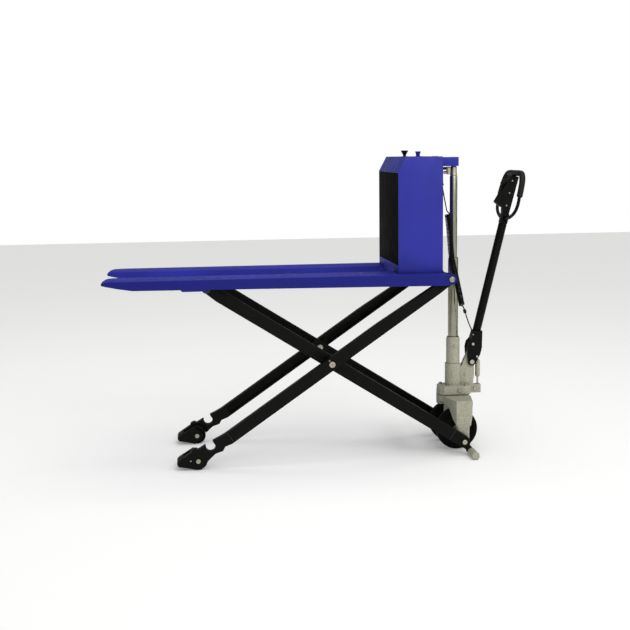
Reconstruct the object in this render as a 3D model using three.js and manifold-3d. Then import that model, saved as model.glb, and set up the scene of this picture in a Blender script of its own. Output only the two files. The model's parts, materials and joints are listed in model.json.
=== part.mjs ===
import * as THREE from 'three';
import { mergeVertices } from 'three/addons/utils/BufferGeometryUtils.js';
import Module from 'manifold-3d';

const wasm = await Module();
wasm.setup();

// ---------------------------------------------------------------- driving dimensions (mm)
const ORIGIN_SHIFT = 592.9;          // moves the middle of the length to X = 0
const DEG = Math.PI / 180;
const GAP = 0.4;                     // running or resting gap between separate pieces

// Scissor mechanism
const HALF_LOWER = 660;              // pin to crossing, lower half of either arm
const HALF_UPPER = 586.5;            // crossing to upper pin, upper half of either arm
const LIFT_ANGLE = 32.5 * DEG;       // slope of the inner arms when fully raised
const REAR_PIN_Z = 57.5;
const FRONT_ROLLER_R = 37.5;
const CROSS_X = -HALF_LOWER * Math.cos(LIFT_ANGLE);
const CROSS_Z = REAR_PIN_Z + HALF_LOWER * Math.sin(LIFT_ANGLE);
const OUTER_ANGLE = Math.asin((CROSS_Z - FRONT_ROLLER_R) / HALF_LOWER);
const FOOT_X = CROSS_X - HALF_LOWER * Math.cos(OUTER_ANGLE);
const LUG_X = CROSS_X + HALF_UPPER * Math.cos(OUTER_ANGLE);
const LUG_Z = CROSS_Z + HALF_UPPER * Math.sin(OUTER_ANGLE);
const ARM_LENGTH = HALF_LOWER + HALF_UPPER;
const ARM_HALF_DEPTH = 25;
const INNER_Y = [165, 200];          // inner arm, across the machine
const OUTER_Y = [215, 250];          // outer arm
const ARM_PIN_R = 12.3;
const TRACK_ROLLER_R = 17;
const TRACK_AXLE_R = 8;
const NOTCH_R = 19.5;

// Forks
const FORK_TOP = LUG_Z + 22;
const FORK_Y = [110, 270];
const FORK_TIP_X = -1459;
const FORK_REAR_X = -97;
const FORK_PLATE = 5;
const FORK_WALL = 4;
const FLANGE_FRONT = 36;
const FLANGE_REAR = 47;
const NOSE_X = -1337;
const LUG_R = 21;

// Cover on the forks
const COVER_FRONT = -282;
const COVER_REAR = -101;
const COVER_HALF_WIDTH = 225;
const COVER_SHEET = 3;
const SEAT_STEP = 0.6;                 // the forks are this much lower under the cover
const COVER_BASE = FORK_TOP - SEAT_STEP + GAP;
const COVER_TOP = 1232;
const CHAMFER_Z = 1172;
const CHAMFER_X = -250;
const PANEL_Z = [800, 1169];

// Mast and steering column
const MAST_X = -5;
const BARREL_R = 28.5;
const STAGE_R = 21.5;
const PISTON_R = 16;
const BARREL_Z = [101, 470];
const STAGE_Z = [440, 808];
const PISTON_Z = [779, 1152];
const HEAD_FOOT_Z = 1152.5;
const WHEEL_R = 87;
const WHEEL_Y = [44, 92];
const STEER_AXLE_R = 10;

// Handle
const HANDLE_PIN = { x: 73, z: 361 };
const SHAFT_LEAN = 13.6 * DEG;
const SHAFT_R = 17.5;
const SHAFT_FOOT = { x: 93, z: 472 };
const SHAFT_LENGTH = 488;
const LOOP_Z = 500;                  // start of the grip loop, along the shaft
const LOOP_HALF_WIDTH = 148;
const LOOP_HEIGHT = 205;
const GRIP_R = 12.5;

// ---------------------------------------------------------------- helpers
const group = new THREE.Group();
group.name = 'scissor_lift_truck';
group.position.x = ORIGIN_SHIFT;

const COLORS = {
  blue: 0x2f3597,
  black: 0x141410,
  grey: 0xa2a196,
  chrome: 0xb9b8ad,
  rubber: 0x0d0d0d,
  zinc: 0xa9a78f,
  casing: 0x1c1c1a,
  tank: 0xb8b4a0,
};

function material(slot) {
  const metal = slot === 'chrome' || slot === 'zinc';
  return new THREE.MeshStandardMaterial({
    color: COLORS[slot],
    metalness: metal ? 0.9 : 0.2,
    roughness: metal ? 0.3 : 0.55,
  });
}

function place(parent, name, slot, geometry) {
  const mesh = new THREE.Mesh(geometry, material(slot));
  mesh.name = name;
  parent.add(mesh);
  return mesh;
}

function solid(geometry) {
  const bare = new THREE.BufferGeometry();
  bare.setAttribute('position', geometry.getAttribute('position').clone());
  if (geometry.index) bare.setIndex(geometry.index.clone());
  const welded = mergeVertices(bare, 1e-3);
  const vertProperties = new Float32Array(welded.getAttribute('position').array);
  const triVerts = new Uint32Array(welded.index.array);
  return new wasm.Manifold(new wasm.Mesh({ numProp: 3, vertProperties, triVerts }));
}

function geometryOf(body) {
  const mesh = body.getMesh();
  const geometry = new THREE.BufferGeometry();
  geometry.setAttribute('position', new THREE.BufferAttribute(new Float32Array(mesh.vertProperties), 3));
  geometry.setIndex(new THREE.BufferAttribute(new Uint32Array(mesh.triVerts), 1));
  const flat = geometry.toNonIndexed();
  flat.computeVertexNormals();
  return flat;
}

function union(...geometries) {
  return geometryOf(geometries.map(solid).reduce((a, b) => a.add(b)));
}

function cut(base, ...tools) {
  return geometryOf(tools.map(solid).reduce((a, b) => a.subtract(b), solid(base)));
}

function common(a, b) {
  return geometryOf(solid(a).intersect(solid(b)));
}

function box(x0, x1, y0, y1, z0, z1) {
  const geometry = new THREE.BoxGeometry(x1 - x0, y1 - y0, z1 - z0);
  return geometry.translate((x0 + x1) / 2, (y0 + y1) / 2, (z0 + z1) / 2);
}

// Flat outline in X and Z, extruded across the machine from y0 to y1
function slab(points, y0, y1) {
  const outline = new THREE.Shape(points.map(([x, z]) => new THREE.Vector2(x, z)));
  const geometry = new THREE.ExtrudeGeometry(outline, { depth: y1 - y0, bevelEnabled: false });
  return geometry.rotateX(Math.PI / 2).translate(0, y1, 0);
}

// Flat outline in Y and Z, extruded along the machine from x0 to x1
function slabX(points, x0, x1) {
  const outline = new THREE.Shape(points.map(([y, z]) => new THREE.Vector2(y, z)));
  const geometry = new THREE.ExtrudeGeometry(outline, { depth: x1 - x0, bevelEnabled: false });
  return geometry.rotateX(Math.PI / 2).rotateZ(Math.PI / 2).translate(x0, 0, 0);
}

// Flat outline in X and Y, extruded upwards from z0 to z1
function plan(points, z0, z1) {
  const outline = new THREE.Shape(points.map(([x, y]) => new THREE.Vector2(x, y)));
  const geometry = new THREE.ExtrudeGeometry(outline, { depth: z1 - z0, bevelEnabled: false });
  return geometry.translate(0, 0, z0);
}

function rodY(x, z, y0, y1, r, sides = 24) {
  return new THREE.CylinderGeometry(r, r, y1 - y0, sides).translate(x, (y0 + y1) / 2, z);
}

function rodZ(x, y, z0, z1, r, sides = 32) {
  const geometry = new THREE.CylinderGeometry(r, r, z1 - z0, sides);
  return geometry.rotateX(Math.PI / 2).translate(x, y, (z0 + z1) / 2);
}

function rodX(y, z, x0, x1, r, sides = 16) {
  const geometry = new THREE.CylinderGeometry(r, r, x1 - x0, sides);
  return geometry.rotateZ(Math.PI / 2).translate((x0 + x1) / 2, y, z);
}

// Closed outline of [radius, height] pairs turned about a vertical line
function turned(x, y, outline, sides = 32) {
  const points = [...outline, outline[0]].map(([r, z]) => new THREE.Vector2(r, z));
  return new THREE.LatheGeometry(points, sides).rotateX(Math.PI / 2).translate(x, y, 0);
}

// Closed outline of [radius, position] pairs turned about a line across the machine
function turnedY(x, z, outline, sides = 32) {
  const points = [...outline, outline[0]].map(([r, y]) => new THREE.Vector2(r, y));
  return new THREE.LatheGeometry(points, sides).translate(x, 0, z);
}

function arcPoints(cx, cz, r, from, to, steps) {
  return Array.from({ length: steps + 1 }, (_, i) => {
    const angle = (from + ((to - from) * i) / steps) * DEG;
    return [cx + r * Math.cos(angle), cz + r * Math.sin(angle)];
  });
}

function swept(points, r, steps, sides = 12) {
  const path = new THREE.CatmullRomCurve3(points.map(([x, y, z]) => new THREE.Vector3(x, y, z)));
  const circle = new THREE.Shape(
    Array.from({ length: sides }, (_, i) => {
      const angle = (i * 2 * Math.PI) / sides;
      return new THREE.Vector2(r * Math.cos(angle), r * Math.sin(angle));
    }),
  );
  return new THREE.ExtrudeGeometry(circle, { steps, extrudePath: path, bevelEnabled: false });
}

// Mirrors a geometry to the other side of the machine
function mirrored(geometry) {
  const copy = geometry.clone().scale(1, -1, 1);
  const position = copy.getAttribute('position');
  const count = copy.index ? copy.index.count : position.count;
  const order = Array.from({ length: count }, (_, i) => (copy.index ? copy.index.getX(i) : i));
  for (let i = 0; i < count; i += 3) {
    [order[i], order[i + 2]] = [order[i + 2], order[i]];
  }
  copy.setIndex(order);
  const flat = copy.toNonIndexed();
  flat.computeVertexNormals();
  return flat;
}

// The side nearer -Y is the driver's left, seen from the handle facing the forks
function pair(parent, name, slot, geometry) {
  place(parent, `${name}_right`, slot, geometry);
  place(parent, `${name}_left`, slot, mirrored(geometry));
}

// ---------------------------------------------------------------- saddle frame
const SLEEVE_R = 38;
const SADDLE_Z = [196, 222];
const CHEEK_Y = [138, 160];

const LOBE = { x: -52, r: 24 };
const saddlePlan = [
  [-55, -50], [-36, -132], [-24, -160], [30, -160], [48, -130], [60, -60],
  [60, 60], [48, 130], [30, 160], [-24, 160], [-36, 132], [-55, 50], [-72, 24], [-72, -24],
];
const cheek = [
  [-28, 222], [-26, 121], [-21, 117], ...arcPoints(4, REAR_PIN_Z, 26, 180, 360, 8),
  [30.5, 116], [34, 120], [40, 160], [44.5, 209], [44, 222],
];
// Side walls that join the top of the saddle to the cheeks, clear of the turning wheels
const frontWall = [[-57, -50], [-38, -132], [-26, -160], [-18, -157], [-30, -129], [-49, -48]];
const rearWall = [[62, -60], [50, -130], [36, -160], [28, -156], [42, -126], [54, -58]];
const wallSide = [[-160, 112], [-126, 152], [-104, 178], [-48, 192], [-48, 210], [-160, 210]];
const wallBand = slabX(wallSide, -70, 70);
const wall = common(union(plan(frontWall, 100, 215), plan(rearWall, 100, 215)), wallBand);
const saddle = cut(
  union(
    plan(saddlePlan, SADDLE_Z[0], SADDLE_Z[1]),
    rodZ(LOBE.x, 0, 182, SADDLE_Z[1], LOBE.r, 28),
    slab(cheek, CHEEK_Y[0], CHEEK_Y[1]),
    slab(cheek, -CHEEK_Y[1], -CHEEK_Y[0]),
    wall,
    mirrored(wall),
  ),
  rodZ(MAST_X, 0, 170, 250, SLEEVE_R + GAP),
  rodY(0, REAR_PIN_Z, -CHEEK_Y[1] - 5, -CHEEK_Y[0] + 5, STEER_AXLE_R + GAP),
  rodY(0, REAR_PIN_Z, CHEEK_Y[0] - 5, CHEEK_Y[1] + 5, STEER_AXLE_R + GAP),
);
place(group, 'saddle_frame', 'grey', saddle);

const rearPin = turnedY(0, REAR_PIN_Z, [
  [0.001, 132], [14, 132], [14, CHEEK_Y[0] - GAP], [STEER_AXLE_R, CHEEK_Y[0] - GAP],
  [STEER_AXLE_R, 203], [8.5, 204.5], [0.001, 204.5],
], 24);
pair(group, 'rear_pin', 'zinc', rearPin);

// ---------------------------------------------------------------- steering column
const FLANGE_Z = [223, 262];
const flangePlan = [
  [-70, -24], [-52, -46], [40, -46], [62, -34], [70, -20],
  [70, 20], [62, 34], [40, 46], [-52, 46], [-70, 24],
];
const COLLAR_R = 34;
const GROOVE_Z = [319.5, 321.5];
const PLUNGER_X = 44;
const VALVE_X = 103.5;
const EAR_Y = 13;
const earShape = [
  [26, 255], [27, 336], [41, 371], [55, 398], [64, 409], [75, 407],
  ...arcPoints(HANDLE_PIN.x, HANDLE_PIN.z, 14.5, 60, -10, 6), [86, 340], [86, 300], [80, 255],
];
// Open slot in the ear, where the pump roller swings on the plunger
const rollerSlot = [
  [20, 322], [56, 322], ...arcPoints(HANDLE_PIN.x, HANDLE_PIN.z, 16.5, 215, 95, 7), [75, 420], [20, 420],
];
const casting = cut(
  union(
    rodZ(MAST_X, 0, 73, 230, SLEEVE_R),
    plan(flangePlan, FLANGE_Z[0], FLANGE_Z[1]),
    rodZ(LOBE.x, 0, FLANGE_Z[0], 247, LOBE.r, 28),
    rodZ(MAST_X, 0, 255, GROOVE_Z[0], COLLAR_R),
    rodZ(MAST_X, 0, GROOVE_Z[0] - 1, GROOVE_Z[1] + 1, COLLAR_R - 1.4),
    rodZ(MAST_X, 0, GROOVE_Z[1], 357, COLLAR_R),
    rodZ(50, 0, 255, 322, 17),
    slab(earShape, -EAR_Y, EAR_Y),
    box(60, 116, -EAR_Y, EAR_Y, 224, 262),
  ),
  slab(rollerSlot, -9.3, 9.3),
  rodZ(MAST_X, 0, BARREL_Z[0] - GAP, 380, BARREL_R + GAP),
  rodY(MAST_X, WHEEL_R, -60, 60, STEER_AXLE_R + GAP),
  rodZ(PLUNGER_X, 0, 275, 390, 7 + GAP),
  rodY(HANDLE_PIN.x, HANDLE_PIN.z, -30, 30, 8 + GAP),
  rodZ(VALVE_X, 0, 246, 290, 5 + GAP),
);
place(group, 'pump_casting', 'grey', casting);

const barrel = turned(MAST_X, 0, [
  [0.001, BARREL_Z[0]], [BARREL_R, BARREL_Z[0]], [BARREL_R, 463], [26, BARREL_Z[1]],
  [STAGE_R + GAP, BARREL_Z[1]], [STAGE_R + GAP, 446], [STAGE_R + 1.5, 444], [STAGE_R + 1.5, 104],
  [0.001, 104],
], 36);
place(group, 'mast_barrel', 'grey', barrel);

const stage = turned(MAST_X, 0, [
  [PISTON_R + 1.5, STAGE_Z[0]], [STAGE_R, STAGE_Z[0]], [STAGE_R, 804], [19.5, STAGE_Z[1]],
  [PISTON_R + GAP, STAGE_Z[1]], [PISTON_R + GAP, 786], [PISTON_R + 1.5, 784],
], 36);
place(group, 'mast_stage', 'chrome', stage);

const PISTON_STUD_R = 8;
const STUD_TOP = 1172;
const piston = turned(MAST_X, 0, [
  [0.001, PISTON_Z[0]], [PISTON_R, PISTON_Z[0]], [PISTON_R, 1149], [14.5, PISTON_Z[1]],
  [PISTON_STUD_R, PISTON_Z[1]], [PISTON_STUD_R, STUD_TOP], [0.001, STUD_TOP],
], 32);
place(group, 'mast_piston', 'chrome', piston);

place(group, 'steer_axle', 'zinc', rodY(MAST_X, WHEEL_R, -97, 97, STEER_AXLE_R));

const wheelHub = turnedY(MAST_X, WHEEL_R, [
  [STEER_AXLE_R + GAP, WHEEL_Y[0]], [26, WHEEL_Y[0]], [30, 52], [60, 54], [66, WHEEL_Y[0] + 3],
  [66, WHEEL_Y[1] - 3], [60, 82], [30, 84], [26, WHEEL_Y[1]], [STEER_AXLE_R + GAP, WHEEL_Y[1]],
], 36);
pair(group, 'steer_wheel_hub', 'casing', wheelHub);
const wheelTyre = turnedY(MAST_X, WHEEL_R, [
  [66 + GAP, WHEEL_Y[0]], [81, WHEEL_Y[0]], [WHEEL_R, WHEEL_Y[0] + 7], [WHEEL_R, WHEEL_Y[1] - 7],
  [81, WHEEL_Y[1]], [66 + GAP, WHEEL_Y[1]],
], 48);
pair(group, 'steer_wheel_tyre', 'rubber', wheelTyre);

place(group, 'pump_plunger', 'chrome', rodZ(PLUNGER_X, 0, 296, 345, 7, 20));

const valve = turned(VALVE_X, 0, [
  [0.001, 250], [5, 250], [5, 264], [4, 266], [4, 290], [10.5, 297], [10.5, 352], [9, 364], [0.001, 367],
], 20);
place(group, 'release_valve', 'grey', valve);

// ---------------------------------------------------------------- handle
place(group, 'handle_pin', 'zinc', turnedY(HANDLE_PIN.x, HANDLE_PIN.z, [
  [0.001, -28.5], [10, -28.5], [10, -25], [8, -25], [8, 25], [10, 25], [10, 28.5], [0.001, 28.5],
], 24));

const handle = new THREE.Group();
handle.name = 'handle';
group.add(handle);

const BRACKET_Y = [16, 24];
const cheekOutline = [
  ...arcPoints(HANDLE_PIN.x, HANDLE_PIN.z, 16, 180, 325, 8), [97, 370], [109, 392], [116, 421],
  [118, 493], [80, 493], [73, 463], [57, 446], [51.5, 424], [53, 396],
];
const shaftBore = new THREE.CylinderGeometry(SHAFT_R + GAP, SHAFT_R + GAP, SHAFT_LENGTH, 24)
  .rotateX(Math.PI / 2)
  .translate(0, 0, SHAFT_LENGTH / 2)
  .rotateY(SHAFT_LEAN)
  .translate(SHAFT_FOOT.x - 0.1, 0, SHAFT_FOOT.z - GAP);
const bracket = cut(
  union(
    slab(cheekOutline, -BRACKET_Y[1], -BRACKET_Y[0]),
    slab(cheekOutline, BRACKET_Y[0], BRACKET_Y[1]),
    slab([[68, 450], [116.5, 450], [118, 493], [80, 493]], -BRACKET_Y[1], BRACKET_Y[1]),
    rodY(77, 438, -BRACKET_Y[1] - 3.5, -BRACKET_Y[1] + 1, 5.5, 18),
    rodY(95, 384, -BRACKET_Y[1] - 3, -BRACKET_Y[1] + 1, 4.6, 18),
    box(68, 82, -32, -20, 474, 486),
  ),
  shaftBore,
  rodY(HANDLE_PIN.x, HANDLE_PIN.z, -40, 40, 8 + GAP),
);
place(handle, 'handle_bracket', 'black', bracket);
place(handle, 'pump_roller', 'zinc', turnedY(47, 358, [
  [3.4, -8.5], [9, -8.5], [9, 8.5], [3.4, 8.5],
], 20));

const shaft = new THREE.Group();
shaft.name = 'shaft_line';
shaft.position.set(SHAFT_FOOT.x, 0, SHAFT_FOOT.z);
shaft.rotation.y = SHAFT_LEAN;
handle.add(shaft);
place(shaft, 'handle_shaft', 'black', turned(0, 0, [
  [14.5, 0], [SHAFT_R, 0], [SHAFT_R, SHAFT_LENGTH - 2], [14.5, SHAFT_LENGTH],
], 28));

// Grip loop, in the plane that holds the shaft line and runs across the machine
const ROD_Z = LOOP_Z + 10;
const YOKE_TOP = LOOP_Z + 34;
const yoke = cut(
  union(
    plan([[-15, -17.5], [14, -17.5], [14, 17.5], [-15, 17.5]], SHAFT_LENGTH + GAP, YOKE_TOP),
    turned(0, 0, [[0.001, LOOP_Z - 42], [14, LOOP_Z - 42], [14, LOOP_Z - 8], [0.001, LOOP_Z - 8]], 24),
  ),
  rodY(0, ROD_Z, -30, -9, 9),
  rodY(0, ROD_Z, 9, 30, 9),
);
place(shaft, 'loop_yoke', 'black', yoke);

const limb = swept([
  [0, 10, ROD_Z], [0, 34, ROD_Z + 1], [0, 62, LOOP_Z + 15], [0, 90, LOOP_Z + 23], [0, 118, LOOP_Z + 35],
  [0, 138, LOOP_Z + 51], [0, LOOP_HALF_WIDTH, LOOP_Z + 72], [0, LOOP_HALF_WIDTH - 1, LOOP_Z + 92],
  [0, LOOP_HALF_WIDTH - 4, LOOP_Z + 105],
], 6.8, 18, 12);
pair(shaft, 'loop_rod', 'black', limb);

// Half of the grip, from its lower end to the middle of the top bar
const gripHalf = [
  [LOOP_HALF_WIDTH - 4, LOOP_Z + 106.5], [LOOP_HALF_WIDTH - 9, LOOP_Z + 140], [132, LOOP_Z + 167],
  [119, LOOP_Z + 187], [100, LOOP_HEIGHT + LOOP_Z - 4], [70, LOOP_HEIGHT + LOOP_Z],
];
const gripPath = [
  ...gripHalf.map(([y, z]) => [0, -y, z]),
  [0, 0, LOOP_Z + LOOP_HEIGHT],
  ...gripHalf.map(([y, z]) => [0, y, z]).reverse(),
];
place(shaft, 'loop_grip', 'rubber', swept(gripPath, GRIP_R, 48, 14));

const HEAD_HALF = 20;
const headOutline = [
  [-15, YOKE_TOP + GAP], [11, YOKE_TOP + GAP], [15, LOOP_Z + 192], [-18, LOOP_Z + 192], [-57, LOOP_Z + 69],
  [-33, LOOP_Z + 55], [-19, LOOP_Z + 54],
];
const HEAD_SCREWS = [LOOP_Z + 64.4, LOOP_Z + 118, LOOP_Z + 170.6];
const controlHead = cut(
  union(
    slab(headOutline, -HEAD_HALF, HEAD_HALF),
    ...HEAD_SCREWS.map((z) => rodY(-9, z, -HEAD_HALF - 2.5, -HEAD_HALF + 1, 4.6, 16)),
  ),
  box(1.5, 24, -9 - GAP, 9 + GAP, LOOP_Z + 126, LOOP_Z + 162),
  slab([[-80, LOOP_Z + 64], [-24, LOOP_Z + 64], [-17, LOOP_Z + 160], [-80, LOOP_Z + 160]], -8, 8),
);
place(shaft, 'control_head', 'casing', controlHead);
place(shaft, 'lift_rocker', 'rubber', slab([
  [4, LOOP_Z + 129], [15.6, LOOP_Z + 129], [14.2, LOOP_Z + 144], [16, LOOP_Z + 159], [4, LOOP_Z + 159],
], -9, 9));

const LEVER_PIN = { x: -34, z: LOOP_Z + 84 };
const lever = cut(
  union(
    slab([
      [-28, LOOP_Z + 76], [-40, LOOP_Z + 76], [-46, LOOP_Z + 150], [-39, LOOP_Z + 172], [-33, LOOP_Z + 170],
      [-39, LOOP_Z + 148], [-28, LOOP_Z + 92],
    ], -7, 7),
    slab([[-46, LOOP_Z + 152], [-39, LOOP_Z + 173], [-32, LOOP_Z + 170], [-39, LOOP_Z + 150]], -24, 24),
  ),
  rodY(LEVER_PIN.x, LEVER_PIN.z, -20, 20, 3 + GAP, 16),
);
place(shaft, 'release_lever', 'casing', lever);

// ---------------------------------------------------------------- inner arms
const inner = new THREE.Group();
inner.name = 'inner_arms';
inner.position.set(0, 0, REAR_PIN_Z);
inner.rotation.y = LIFT_ANGLE;
group.add(inner);

// Foot of the stabiliser, in the frame of the arm
const STAB_R = 16.5;
const stabWorld = new THREE.Vector3(28, 0, STAB_R - REAR_PIN_Z);
const stab = stabWorld.applyAxisAngle(new THREE.Vector3(0, 1, 0), -LIFT_ANGLE);

const innerOutline = [
  [-ARM_LENGTH + 6, -19], [-ARM_LENGTH + 60, -ARM_HALF_DEPTH], [-60, -ARM_HALF_DEPTH], [-20, -24],
  [stab.x - 18, stab.z - 4], ...arcPoints(stab.x, stab.z, 15, 230, 400, 8), [24, 2],
  ...arcPoints(0, 0, 24, 15, 92, 5), [-70, ARM_HALF_DEPTH], [-ARM_LENGTH + 60, ARM_HALF_DEPTH],
  ...arcPoints(-ARM_LENGTH, 0, 20, 70, 262, 8),
];
const innerArm = cut(
  union(
    slab(innerOutline, INNER_Y[0], INNER_Y[1]),
    rodY(-ARM_LENGTH, 0, INNER_Y[1] - 5, 249, TRACK_AXLE_R, 20),
  ),
  rodY(0, 0, INNER_Y[0] - 5, INNER_Y[1] + 5, STEER_AXLE_R + GAP),
  rodY(-HALF_LOWER, 0, INNER_Y[0] - 5, INNER_Y[1] + 5, ARM_PIN_R + GAP),
  box(-ARM_LENGTH + 70, -HALF_LOWER - 40, INNER_Y[0] - 5, INNER_Y[0] + 29, -19, 19),
  box(-HALF_LOWER + 40, -90, INNER_Y[0] - 5, INNER_Y[0] + 29, -19, 19),
);
pair(inner, 'inner_arm', 'black', innerArm);

place(inner, 'inner_tie_bar', 'black', box(-236, -176, -INNER_Y[0] + GAP, INNER_Y[0] - GAP, -24.5, -12.5));

pair(inner, 'stabiliser', 'grey', rodY(stab.x, stab.z, INNER_Y[1] + GAP, 275, STAB_R, 28));

const crossPin = turnedY(-HALF_LOWER, 0, [
  [0.001, 157], [16, 157], [16, INNER_Y[0] - GAP], [ARM_PIN_R, INNER_Y[0] - GAP], [ARM_PIN_R, 253],
  [11, 254.5], [0.001, 254.5],
], 28);
pair(inner, 'cross_pin', 'zinc', crossPin);

const trackRoller = turnedY(-ARM_LENGTH, 0, [
  [TRACK_AXLE_R + GAP, 218], [15.5, 218], [TRACK_ROLLER_R, 219.5], [TRACK_ROLLER_R, 245.5], [15.5, 247],
  [TRACK_AXLE_R + GAP, 247],
], 28);
pair(inner, 'track_roller', 'zinc', trackRoller);

// ---------------------------------------------------------------- outer arms
const outer = new THREE.Group();
outer.name = 'outer_arms';
outer.position.set(FOOT_X, 0, FRONT_ROLLER_R);
outer.rotation.y = -OUTER_ANGLE;
group.add(outer);

const notch = { x: 73.8, z: 17.8 };
const toe = [[-76, 27], [-76, 39.5], [-68, 45]];
const heel = [[-27, -23.5], [-53.5, 5.5]];
const footOutline = [
  ...toe, [-5, 44], [2.5, 50], [12, 50], [21, 46], [27, 37], [54, 35.5], [100, 31], [125, 27], [150, 25],
  [900, 25], [1222, 14], ...arcPoints(ARM_LENGTH, 0, 20, 60, -90, 10), [1180, -23], [150, -23], [121, -16],
  [104, -25], [73, -16], [35, -22], [-9, -35], ...heel,
];
const outerArm = cut(
  union(
    cut(
      slab(footOutline, OUTER_Y[0], OUTER_Y[1]),
      rodY(0, 0, OUTER_Y[0] - 5, 240, FRONT_ROLLER_R + 3, 32),
    ),
    slab([...toe, [-42, 45], [-42, 3], [-53.5, 5.5]], INNER_Y[0], 230),
    slab([...toe, [6, 42], ...arcPoints(0, 0, 24, 40, -120, 8), ...heel], INNER_Y[0], 175),
  ),
  rodY(notch.x, notch.z, OUTER_Y[0] - 5, OUTER_Y[1] + 5, NOTCH_R, 28),
  box(notch.x - 14, notch.x + NOTCH_R, OUTER_Y[0] - 5, OUTER_Y[1] + 5, notch.z, 45),
  rodY(0, 0, INNER_Y[0] - 5, OUTER_Y[1] + 5, 9 + GAP, 24),
  rodY(HALF_LOWER, 0, OUTER_Y[0] - 5, OUTER_Y[1] + 5, ARM_PIN_R + GAP),
  rodY(ARM_LENGTH, 0, OUTER_Y[0] - 5, OUTER_Y[1] + 5, 9 + GAP),
  box(170, HALF_LOWER - 40, OUTER_Y[0] - 5, OUTER_Y[0] + 29, -17, 19),
  box(HALF_LOWER + 40, ARM_LENGTH - 60, OUTER_Y[0] - 5, OUTER_Y[0] + 29, -17, 10),
);
pair(outer, 'outer_arm', 'black', outerArm);

const rollerPin = turnedY(0, 0, [
  [0.001, INNER_Y[0]], [9, INNER_Y[0]], [9, 252], [8, 253.5], [0.001, 253.5],
], 24);
pair(outer, 'front_roller_pin', 'zinc', rollerPin);
const frontRoller = turnedY(0, 0, [
  [9 + GAP, 177], [34, 177], [FRONT_ROLLER_R, 181], [FRONT_ROLLER_R, 234], [34, 238], [9 + GAP, 238],
], 40);
pair(outer, 'front_roller', 'rubber', frontRoller);

// ---------------------------------------------------------------- forks and carriage
const carriage = new THREE.Group();
carriage.name = 'carriage';
group.add(carriage);

function flangeBottom(x) {
  const share = (x - NOSE_X) / (FORK_REAR_X - NOSE_X);
  return FORK_TOP - FLANGE_FRONT - (FLANGE_REAR - FLANGE_FRONT) * share;
}

const forkSide = [
  [FORK_TIP_X, FORK_TOP - 11], [FORK_TIP_X + 4, FORK_TOP - 17], [NOSE_X, flangeBottom(NOSE_X)],
  [-1152, flangeBottom(-1152)], [-1144, flangeBottom(-1144) - 7], [-1050, flangeBottom(-1050) - 6],
  [-1043, flangeBottom(-1043)], [FORK_REAR_X, flangeBottom(FORK_REAR_X)], [FORK_REAR_X, FORK_TOP],
  [-1432, FORK_TOP], [-1446, FORK_TOP - 3],
];
const forkPlan = [
  [FORK_TIP_X, 144], [FORK_TIP_X + 4, 137], [-1440, 126], [-1395, FORK_Y[0]], [FORK_REAR_X, FORK_Y[0]],
  [FORK_REAR_X, FORK_Y[1]], [-1395, FORK_Y[1]], [-1440, 254], [FORK_TIP_X + 4, 243], [FORK_TIP_X, 236],
];
const channelPlan = [
  [-1410, FORK_Y[0] + 14], [-1395, FORK_Y[0] + FORK_WALL], [0, FORK_Y[0] + FORK_WALL],
  [0, FORK_Y[1] - FORK_WALL], [-1395, FORK_Y[1] - FORK_WALL], [-1410, FORK_Y[1] - 14],
];
const lugPlate = [
  [-330, FORK_TOP - 2], [-330, FORK_TOP - 44], [-100, FORK_TOP - 47], [LUG_X - 12, LUG_Z - 23],
  ...arcPoints(LUG_X, LUG_Z, LUG_R, -90, 82, 12), [-103, FORK_TOP - 0.6], [-110, FORK_TOP - 0.6],
];
// Concave gusset behind the cover, on the inner lug plate
const GUSSET_R = 16;
const GUSSET_X = COVER_REAR + GAP;
const rearGusset = [
  [GUSSET_X, FORK_TOP - 3],
  ...arcPoints(GUSSET_X + 2 + GUSSET_R, FORK_TOP + GUSSET_R, GUSSET_R, 270, 180, 6),
  [GUSSET_X, FORK_TOP + GUSSET_R],
];
const fork = cut(
  union(
    cut(
      common(slab(forkSide, 100, 280), plan(forkPlan, 600, 900)),
      plan(channelPlan, 600, FORK_TOP - FORK_PLATE),
    ),
    slab(lugPlate, 262, FORK_Y[1]),
    slab(lugPlate, 203.5, 211.5),
    slab(rearGusset, 203.5, 211.5),
    box(-1292, -1008, 217, 254, FORK_TOP - 19.5, FORK_TOP - 2),
  ),
  rodY(LUG_X, LUG_Z, 190, 280, 9 + GAP),
  box(COVER_FRONT - 1, COVER_REAR, FORK_Y[0] - 5, COVER_HALF_WIDTH + 1, FORK_TOP - SEAT_STEP, FORK_TOP + 5),
);
pair(carriage, 'fork', 'blue', fork);

const lugBolt = union(
  rodY(LUG_X, LUG_Z, 201.5, 271, 9),
  new THREE.CylinderGeometry(11, 11, 6.4, 6).translate(LUG_X, FORK_Y[1] + GAP + 3.2, LUG_Z),
);
pair(carriage, 'lug_bolt', 'zinc', lugBolt);

// The base between the forks, with an arch that the steering wheels turn in when the forks are down
const ARCH_R = 131;
const ARCH_TOP = FORK_TOP + 82;
const archInside = rodZ(MAST_X, 0, 700, ARCH_TOP, ARCH_R, 40);
const baseFrame = cut(
  union(
    box(COVER_FRONT, COVER_REAR, GAP - FORK_Y[0], FORK_Y[0] - GAP, FORK_TOP - 12, FORK_TOP - SEAT_STEP),
    common(
      rodZ(MAST_X, 0, FORK_TOP - 6, ARCH_TOP + 3, ARCH_R + 3, 40),
      box(-150, COVER_REAR - COVER_SHEET - GAP, -FORK_Y[0] + 2, FORK_Y[0] - 2, 700, ARCH_TOP + 5),
    ),
  ),
  archInside,
);
place(carriage, 'base_frame', 'blue', baseFrame);

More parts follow.
